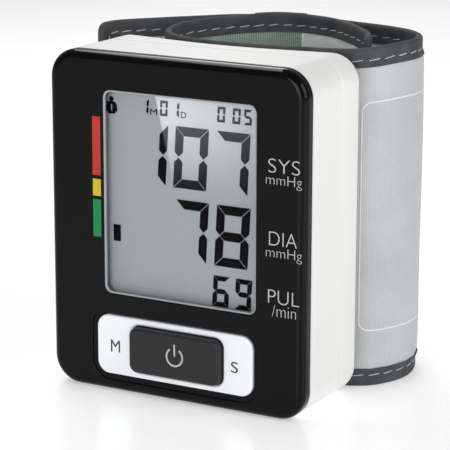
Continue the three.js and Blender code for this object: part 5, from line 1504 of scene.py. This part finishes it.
@dataclass
class Cuff:
    """Cloth skins, edge tape, stitches, printed line and hook tape."""

    band: Band = field(default_factory=Band)
    bend: float = 6.0
    skin: float = 0.5
    cloth_inset: float = 1.6
    crown: float = 0.2
    crown_run: float = 14.0
    pucker: float = 0.1
    pucker_run: float = 4.5
    pucker_pitches: tuple[float, float] = (5.6, 3.7)
    end_run: float = 8.0
    tape_reach: float = 4.7
    tape_thick: float = 0.35
    tape_inside: float = 0.02
    tape_tuck: float = 0.14
    tape_swell: float = 0.05
    leg_steps: tuple[float, ...] = (0, 0.06, 0.25, 0.6, 0.95, 1.2, 1.45, 1.7, 1.95, 2.3, 2.8)
    press: float = 0.12
    press_width: float = 0.45
    rail_steps: int = 380
    lap: tuple[float, float] = (37.75, 51.25)
    lap_lift: float = 0.2
    seam: float = 37.75
    welt_sides: tuple[float, float] = (0.5, 0.35)
    welt_lift: float = 0.16
    welt_thick: float = 0.3
    stitch_depth: float = 3.0
    stitch_pitch: float = 3.9
    stitch_half: float = 1.7
    stitch_tilt: float = math.radians(6)
    stitch_sink: float = 0.05
    stitch_dip: float = 0.2
    thread: float = 0.11
    frame_box: Outline = Outline(50, 57.6, 2.4, x=162.6, z=43.6, steps=8)
    frame_steps: int = 60
    frame_line: float = 0.32
    frame_lifts: tuple[float, float] = (0.055, 0.005)
    patch_x: float = 1.5
    patch_half: float = 7.7
    patch_margin: float = 6.6
    patch_lift: float = 0.35
    patch_thick: float = 0.6
    patch_corner: float = 2.0
    pieces: dict[str, list[bpy.types.Object]] = field(default_factory=dict)

    def bend_ends(self) -> tuple[float, float]:
        """Where the short bend at the hinge begins and ends along the band."""
        return self.band.hinge - self.bend, self.band.hinge + self.bend

    def stretches(self) -> list[Stretch]:
        """The band in three: what rides on the case, the short bend at the hinge, and the tail."""
        low, high = self.bend_ends()
        return [
            Stretch("root", -1, low, "case"),
            Stretch("bend", low, high),
            Stretch("tail", high, self.band.length + 1, "cuff_tail"),
        ]

    def attach(self, obj: bpy.types.Object, stretch: Stretch, nodes: Sequence[str] = ()) -> None:
        """Rides a piece on its stretch's body, or, on the bend, bakes it where it stands.

        Args:
            obj: the finished piece.
            stretch: where on the band it is.
            nodes: the solids that it replaces.
        """
        self.pieces.setdefault(stretch.name, []).append(obj)
        if stretch.body:
            settle(obj, stretch.body, nodes)
            return
        middle = self.band.height / 2
        start, end = (self.band.surface(np.array(d), middle, 0.0) for d in (stretch.start, stretch.stop))
        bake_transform(obj)
        declare(obj, nodes)

    def puff(self, distance: np.ndarray, up: np.ndarray, side: Side) -> np.ndarray:
        """How far the cloth stands out between its tapes.

        Args:
            distance: along the band.
            up: above the band's foot.
            side: which face.

        Returns:
            Millimetres outwards on that face: a crown that is zero under the tapes, slow waves along and
            across the band, and short puckers that die out within a few millimetres of each tape. The
            waves' lengths share no common measure, so that the pattern does not repeat.
        """
        past = np.clip(np.minimum(up, self.band.height - up) - self.tape_reach, 0, None)
        free = np.sin(np.clip(past / self.crown_run, 0, 1) * math.pi / 2)
        phase = 0.9 if side is Side.OUT else 2.3
        slow = 0.09 * np.sin(distance / 7.3 + phase + 0.6 * np.sin(up / 17))
        slow += 0.07 * np.sin(up / 9 + distance / 23 + phase)
        turns = [distance * 2 * math.pi / pitch for pitch in self.pucker_pitches]
        puckers = np.sin(turns[0] + 1.7 * np.sin(distance / 11) + phase)
        puckers += 0.5 * np.sin(turns[1] + phase * 2)
        ends = np.clip((self.band.to_end(distance) - self.tape_reach) / self.end_run, 0, 1)
        return (free * (self.crown + slow) + self.pucker * np.exp(-past / self.pucker_run) * puckers) * ends

    def face(self, distance: np.ndarray, up: np.ndarray, side: Side) -> np.ndarray:
        """How far the cloth's face is from the band's middle: the core's half and the puff."""
        depth = np.minimum(np.minimum(up, self.band.height - up), self.band.to_end(distance))
        return self.band.core(depth) + self.puff(distance, up, side)

    def panel(
        self, name: str, span: tuple[float, float], inset: float, side: Side, look: Look,
        lift: float = 0.0, thick: float | None = None, corner: float = 0.0, spacing: float = 1.0,
    ) -> bpy.types.Object:
        """A thin closed sheet that follows one face of the band.

        Args:
            name: the piece's name.
            span: where it begins and ends along the band.
            inset: its distance from the foot and from the top edge.
            side: which face of the band.
            look: its finish.
            lift: how far it stands off the cloth's face.
            thick: its thickness; the skin's if it isn't given.
            corner: radius of the corners at both of its ends; 0 follows the band's own ends.
            spacing: size of its faces.

        Returns:
            The sheet: a showing grid at core + puff + lift, a hidden one that much thinner, and a rim.
            Its edges are drawn in near round corners by r - sqrt(r^2 - (r - d)^2), d from the end.
        """
        band = self.band
        rows = max(4, round((span[1] - span[0]) / spacing) + 1)
        columns = max(3, round((band.height - 2 * inset) / (spacing * 1.25)) + 1)
        distance = np.repeat(np.linspace(*span, rows)[:, None], columns, axis=1)
        radius = corner or band.corner
        to_end = np.minimum(distance - span[0], span[1] - distance) if corner else band.to_end(distance)
        rest = radius - np.clip(to_end, 0, radius)
        low = inset + radius - np.sqrt(np.maximum(radius ** 2 - rest ** 2, 0))
        up = low + (band.height - 2 * low) * np.linspace(0, 1, columns)[None, :]
        out = self.face(distance, up, side) + lift
        under = out - (self.skin if thick is None else thick)
        faces = [band.surface(distance, up, side.value * depth) for depth in (out, under)]
        flat = np.stack([distance, up], axis=-1) * MM
        shape = Shape()
        shape.grid(faces[0], cloth=flat)
        shape.grid(faces[1], flip=True, cloth=flat)
        for line in ((0, slice(None)), (-1, slice(None)), (slice(None), 0), (slice(None), -1)):
            shape.grid(np.stack([faces[0][line], faces[1][line]]), cloth=np.stack([flat[line], flat[line]]))
        return shape.piece(name, look, cloth=True, sharp_deg=50)

    def tape_profile(self, lift: float = 0.0) -> tuple[np.ndarray, np.ndarray]:
        """The tape's cross section: an upturned U folded over the band's edge.

        Args:
            lift: how much further out the whole section lies.

        Returns:
            Depth below the edge and offset from the middle surface, as one closed loop. The outside runs
            up one leg, over the half circle of the fold, radius (1 - sin a, -cos a), and down the other
            leg; the inside comes back the same way, one thickness further in.
        """
        fold = np.linspace(0, math.pi, 11)
        leg = self.tape_reach - np.array(self.leg_steps)
        centre = self.band.pinch + self.tape_thick
        sides = []
        for thick, tuck in ((self.tape_thick, self.tape_tuck), (self.tape_inside, 0)):
            radius = self.band.pinch + thick + lift
            offset = self.band.core(leg) + thick + lift
            offset[0] -= tuck
            depth = np.concatenate([leg, centre - radius * np.sin(fold), leg[::-1]])
            sides.append((depth, np.concatenate([-offset, -radius * np.cos(fold), offset[::-1]])))
        (outer_depth, outer), (inner_depth, inner) = sides
        return np.concatenate([outer_depth, inner_depth[::-1]]), np.concatenate([outer, inner[::-1]])

    def rail(self, cuts: Sequence[float] = ()) -> Outline:
        """The band laid flat as an outline, with points at the cuts on both long sides."""
        length, height = self.band.length, self.band.height
        whole = Outline(length, height, self.band.corner, x=length / 2, z=height / 2, steps=10)
        return whole.cut_at(cuts, self.rail_steps)

    def tape(self, name: str, run: np.ndarray, rail: Outline, lift: float = 0.0) -> bpy.types.Object:
        """The tape's cross section carried along a run of the band's edge.

        Args:
            name: the piece's name.
            run: numbers of the rail's points in order.
            rail: the band's edge laid flat.
            lift: how much further out the section lies, where a second layer laps over the first.

        Returns:
            The tape, closed at both ends. Its legs are pressed in along the stitch line by a narrow bell
            that is deepest in the middle of each stitch, and swell slowly along the tape.
        """
        depth, offset = self.tape_profile(lift)
        flat = np.stack([rail.grown(-d).points() for d in depth], axis=1)[run]
        length = running(rail.points())[run][:, None]
        pressed = np.exp(-((depth - self.stitch_depth) / self.press_width) ** 2)
        beat = 0.7 + 0.3 * np.cos(2 * math.pi * length / self.stitch_pitch)
        wave = np.sin(length / 2.1 + 0.8 * np.sin(length / 5))
        swell = self.tape_swell * wave * np.clip(depth / 3 - 0.3, 0, 1)
        placed = np.sign(offset) * (np.abs(offset) - self.press * pressed * beat + swell)
        points = self.band.surface(flat[..., 0], flat[..., 1], placed)
        across = running(np.stack([depth, offset], axis=1))
        cloth = np.stack(np.broadcast_arrays(length, across[None, :]), axis=-1) * MM
        shape = Shape()
        shape.grid(points, wrap=True, cloth=cloth)
        half = len(depth) // 2
        for end in (0, -1):
            shape.strip(points[end, :half], points[end, half:][::-1], wrap=False)
        return shape.piece(name, Look.TAPE, cloth=True, sharp_deg=55)

    def stitches(
        self, name: str, stretch: Stretch, side: Side, centres: np.ndarray, ahead: np.ndarray,
    ) -> bpy.types.Object:
        """Short thread bars that dip into the tape at both ends.

        Args:
            name: the piece's name.
            stretch: the part of the band whose stitches these are.
            side: which face.
            centres: N x 2 places on the band laid flat.
            ahead: N x 2 unit directions of the seam there.

        Returns:
            One capsule for each place: along t from -1 to 1 its radius is thread (1 - t^6)^(1/2), its
            line turns by the tilt from the seam, and its height falls by t^4.
        """
        chosen = stretch.holds(centres[:, 0])
        middle, (u, v) = centres[chosen][:, None, None, :], ahead[chosen].T
        cos, sin = math.cos(self.stitch_tilt), side.value * math.sin(self.stitch_tilt)
        turned = np.stack([u * cos - v * sin, u * sin + v * cos], axis=1)
        cross = np.stack([-turned[:, 1], turned[:, 0]], axis=1)
        t = np.linspace(-1, 1, 7)[None, :, None, None]
        angle = np.linspace(0, 2 * math.pi, 6, endpoint=False)[None, None, :, None]
        radius = self.thread * np.sqrt(1 - t ** 6)
        flat = middle + turned[:, None, None, :] * t * self.stitch_half
        flat = flat + cross[:, None, None, :] * radius * np.cos(angle)
        height = (radius * np.sin(angle) - self.stitch_dip * t ** 4)[..., 0]
        lapped = (middle[..., 0] > self.lap[0]) & (middle[..., 0] < self.lap[1])
        height = height + self.lap_lift * (lapped & (middle[..., 1] > self.band.height / 2))
        seat = self.band.core(np.array(self.stitch_depth)) + self.tape_thick - self.stitch_sink
        shape = Shape()
        shape.grid(
            self.band.surface(flat[..., 0], flat[..., 1], side.value * (seat + height)), wrap=True,
        )
        return shape.piece(name, Look.THREAD, sharp_deg=80)

    def seam_places(self) -> tuple[np.ndarray, np.ndarray]:
        """Where the stitches are, one pitch apart along the whole seam.

        Returns:
            Places and unit directions, both N x 2 on the band laid flat.
        """
        seam = self.rail().grown(-self.stitch_depth).points()
        closed = np.concatenate([seam, seam[:1]])
        length = running(closed)
        count = round(length[-1] / self.stitch_pitch)
        at = (np.arange(count) + 0.5) * length[-1] / count
        places, later = (
            np.stack([np.interp(at + step, length, closed[:, k]) for k in range(2)], axis=1)
            for step in (0.0, 0.2)
        )
        ahead = later - places
        return places, ahead / np.linalg.norm(ahead, axis=1, keepdims=True)

    def edges(self) -> None:
        """Edge tape and stitches: the root and the tail each have one run round their end, the bend two."""
        low, high = self.bend_ends()
        foot, top = 0.0, self.band.height
        rail = self.rail((low, high, *self.lap))
        points = rail.points()

        def between(first: tuple[float, float], last: tuple[float, float]) -> np.ndarray:
            """Numbers of the rail's points from one place to the next, in the rail's own turn.

            Args:
                first: a cut, and the height of the edge that it is on.
                last: the same for the other end.

            Returns:
                The numbers in order, past the rail's first point where the run does so.
            """
            a, b = (
                int(np.flatnonzero(np.isclose(points, place, atol=SAME).all(axis=1))[0])
                for place in (first, last)
            )
            return np.arange(a, b + 1) if a <= b else np.r_[a:len(points), 0:b + 1]

        root, bend, tail = self.stretches()
        for stretch, name, first, last, nodes in (
            (root, "edge_tape_root", (low, top), (low, foot), [
                "binding_top", "binding_bottom", "inner_end_binding",
            ]),
            (tail, "edge_tape_tail", (high, foot), (high, top), [
                "tail_binding_top", "tail_binding_bottom", "tail_end_binding",
            ]),
            (bend, "edge_tape_bend_foot", (low, foot), (high, foot), []),
            (bend, "edge_tape_bend_top", (high, top), (low, top), []),
        ):
            self.attach(self.tape(name, between(first, last), rail), stretch, nodes)
        run = between((self.lap[1], top), (self.lap[0], top))
        self.attach(self.tape("edge_tape_lap", run, rail, self.lap_lift), root)
        centres, ahead = self.seam_places()
        for stretch in (root, bend, tail):
            for side in Side:
                name = f"stitches_{stretch.name}_{side.name.lower()}"
                self.attach(self.stitches(name, stretch, side, centres, ahead), stretch)

    def frame_print(self) -> None:
        """The thin line printed on the outside: a flat band between two outlines, cut where the band is."""
        line = self.frame_box.cut_at(self.bend_ends(), self.frame_steps)
        half = self.frame_line / 2
        rings = np.stack([line.grown(half).points(), line.grown(-half).points()], axis=1)
        closed = np.concatenate([rings, rings[:1]])
        middle = (closed[:-1, 0, 0] + closed[1:, 0, 0]) / 2
        rise = self.face(closed[..., 0], closed[..., 1], Side.OUT)
        layers = [
            self.band.surface(closed[..., 0], closed[..., 1], rise + lift) for lift in self.frame_lifts
        ]
        for stretch in self.stretches():
            keep = stretch.holds(middle)[:, None]
            shape = Shape()
            for layer in layers:
                shape.grid(layer, keep=keep)
            for column in (0, 1):
                shape.grid(np.stack([layer[:, column] for layer in layers], axis=1), keep=keep)
            obj = shape.piece(f"frame_line_{stretch.name}", Look.CLOTH_PRINT)
            self.attach(obj, stretch)

    def skins(self) -> None:
        """The cloths of both faces, made as sheets."""
        band, inset = self.band, self.cloth_inset
        root, bend, tail = self.stretches()
        first, last = inset, band.length - inset
        before, after = self.welt_sides
        welt = self.panel(
            "lining_welt", (self.seam - before, self.seam + after), inset, Side.IN, Look.PALE,
            self.welt_lift, self.welt_thick, spacing=0.25,
        )
        self.attach(welt, root)
        plans = (
            (root, "outer_cloth_root", (first, root.stop), Side.OUT, Look.NYLON, ["outer_fabric"]),
            (root, "pale_lining_end", (first, self.seam), Side.IN, Look.PALE, ["end_lining"]),
            (root, "ribbed_lining", (self.seam, root.stop), Side.IN, Look.KNIT, ["wrist_lining"]),
            (bend, "outer_cloth_bend", (bend.start, bend.stop), Side.OUT, Look.NYLON, []),
            (bend, "ribbed_lining_bend", (bend.start, bend.stop), Side.IN, Look.KNIT, []),
            (tail, "outer_cloth_tail", (tail.start, last), Side.OUT, Look.NYLON, ["tail_fabric"]),
            (tail, "pale_lining_tail", (tail.start, last), Side.IN, Look.PALE, ["tail_lining"]),
        )
        sewn = {name: list(found) for name, found in self.pieces.items()}
        for stretch, name, span, side, look, nodes in plans:
            obj = self.panel(name, span, inset, side, look)
            self.attach(obj, stretch, nodes)
            sewn.pop(stretch.name, ())

    def hook_tape(self) -> None:
        """The square of hook tape that holds the tail's lining to the root's outside."""
        band = self.band
        past = (band.along > band.hinge) & (band.line[:, 0] < self.patch_x)
        middle = float(band.along[np.flatnonzero(past)[0]])
        span = (middle - self.patch_half, middle + self.patch_half)
        obj = self.panel(
            "hook_square", span, self.patch_margin, Side.IN, Look.HOOK, self.patch_lift, self.patch_thick,
            corner=self.patch_corner, spacing=0.8,
        )
        self.attach(obj, self.stretches()[2], ["hook_patch"])

    def build(self) -> None:
        """Builds every cloth piece; what is sewn on comes first."""
        self.edges()
        self.frame_print()
        self.skins()
        self.hook_tape()


# The studio

@dataclass(frozen=True)
class Lamp:
    """A rectangular studio light: place, size and aim in metres, power in watts, its long side's way."""

    name: str
    place: tuple[float, float, float]
    size: tuple[float, float]
    power: float
    aim: tuple[float, float, float] = (0.0, 0.01, 0.045)
    along: tuple[float, float, float] = (0.0, 0.0, 1.0)

    def build(self) -> None:
        """Hangs the light and turns it to what it is aimed at."""
        data = bpy.data.lights.new(self.name, "AREA")
        data.shape = "RECTANGLE"
        data.size, data.size_y = self.size
        data.energy = self.power
        lamp = link(self.name, data)
        lamp.location = self.place
        back = (Vector(self.place) - Vector(self.aim)).normalized()
        across = Vector(self.along).cross(back).normalized()
        lamp.rotation_mode = "QUATERNION"
        lamp.rotation_quaternion = Matrix((across, back.cross(across), back)).transposed().to_quaternion()


@dataclass
class Studio:
    """Camera, light and floor."""

    azimuth: float = 29.2993
    elevation: float = 13.8829
    roll: float = 0.112
    focal_px: float = 2140.05
    picture_px: float = 450.0
    distance: float = 501.717
    target: tuple[float, float, float] = (14.047, -11.5, 45.910)
    sensor: float = 36.0
    clip: tuple[float, float] = (0.01, 20.0)
    surround: float = 0.32
    floor_half: float = 1500.0
    floor_drop: float = 0.02
    lamps: tuple[Lamp, ...] = (
        Lamp("strip_above", (-0.289, 0.251, 0.54), (0.15, 0.85), 2.2, along=(0.0, 0.866, -0.5)),
        Lamp("soft_right", (0.7, -0.1, 0.35), (0.5, 0.6), 2.9),
        Lamp("soft_front", (0.05, -0.9, 0.22), (0.5, 0.5), 3.2),
    )

    def camera(self) -> None:
        """Looks at the target from the photograph's direction, as it was solved on the case's edges."""
        az, el, roll = (math.radians(angle) for angle in (self.azimuth, self.elevation, self.roll))
        back = Vector((math.sin(az) * math.cos(el), -math.cos(az) * math.cos(el), math.sin(el)))
        right = (-back).cross(Vector((0, 0, 1))).normalized()
        up = right.cross(-back)
        axes = Matrix((
            right * math.cos(roll) + up * math.sin(roll),
            up * math.cos(roll) - right * math.sin(roll),
            back,
        )).transposed()
        data = bpy.data.cameras.new("camera")
        data.sensor_width = self.sensor
        data.lens = self.focal_px / self.picture_px * self.sensor
        data.clip_start, data.clip_end = self.clip
        camera = link("camera", data)
        camera.location = (Vector(self.target) + back * self.distance) * MM
        camera.rotation_mode = "QUATERNION"
        camera.rotation_quaternion = axes.to_quaternion()
        bpy.context.scene.camera = camera

    def light(self) -> None:
        """A dim white surround and the lamps."""
        world = bpy.data.worlds.new("surround")
        world.use_nodes = True
        ground = world.node_tree.nodes["Background"]
        ground.inputs["Color"].default_value = linear(PURE_WHITE)
        ground.inputs["Strength"].default_value = self.surround
        bpy.context.scene.world = world
        for lamp in self.lamps:
            lamp.build()

    def floor(self) -> None:
        """A plain pale floor under the case."""
        x, y = np.meshgrid(*[np.linspace(-self.floor_half, self.floor_half, 3)] * 2)
        shape = Shape()
        shape.grid(np.stack([x, y, np.full_like(x, -self.floor_drop)], axis=-1) * MM)
        shape.piece("studio_floor", Look.FLOOR, recalculate=False)

    def build(self) -> None:
        """Builds the studio and sets how colours are shown."""
        self.camera()
        self.light()
        self.floor()
        view = bpy.context.scene.view_settings
        view.view_transform = "Standard"
        view.look = "None"


INNER_LOOKS = {
    Look.INNER: (
        "lcd_frame", "pressure_sensor", "battery_tray", "pump_head", "valve_body", "air_manifold",
        "cuff_port",
    ),
    Look.RUBBER: ("zebra_strip", "tail_core"),
    Look.BOARD: ("main_pcb",),
    Look.EPOXY: ("controller_chip", "buzzer"),
    Look.STEEL: (
        "memory_switch", "power_switch", "set_switch", "spring_contact", "plate_contact", "bridge_contact",
        "pump_motor", "pump_rotor", "valve_plunger", *(f"case_screw_{n}" for n in (1, 2, 3, 4)),
        *(f"cuff_rivet_{n}" for n in (1, 2, 3, 4)),
    ),
    Look.JACKET: ("battery_1", "battery_2"),
    Look.HOSE: ("hose_pump", "hose_valve", "hose_sensor", "hose_cuff"),
    Look.FILM: ("bladder",),
    Look.SPRING: ("stiffener",),
}


def main() -> None:
    """Builds the sub-assemblies in order."""
    logging.basicConfig(level=logging.INFO, format="%(name)s %(message)s")
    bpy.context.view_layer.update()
    for look, nodes in INNER_LOOKS.items():
        for node in nodes:
            look.put_on(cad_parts[node])
    for assembly in (Case(), Keys(), Display(), Cuff(), Studio()):
        assembly.build()
        log.info("%s is built", type(assembly).__name__)


if __name__ == "__main__":
    main()
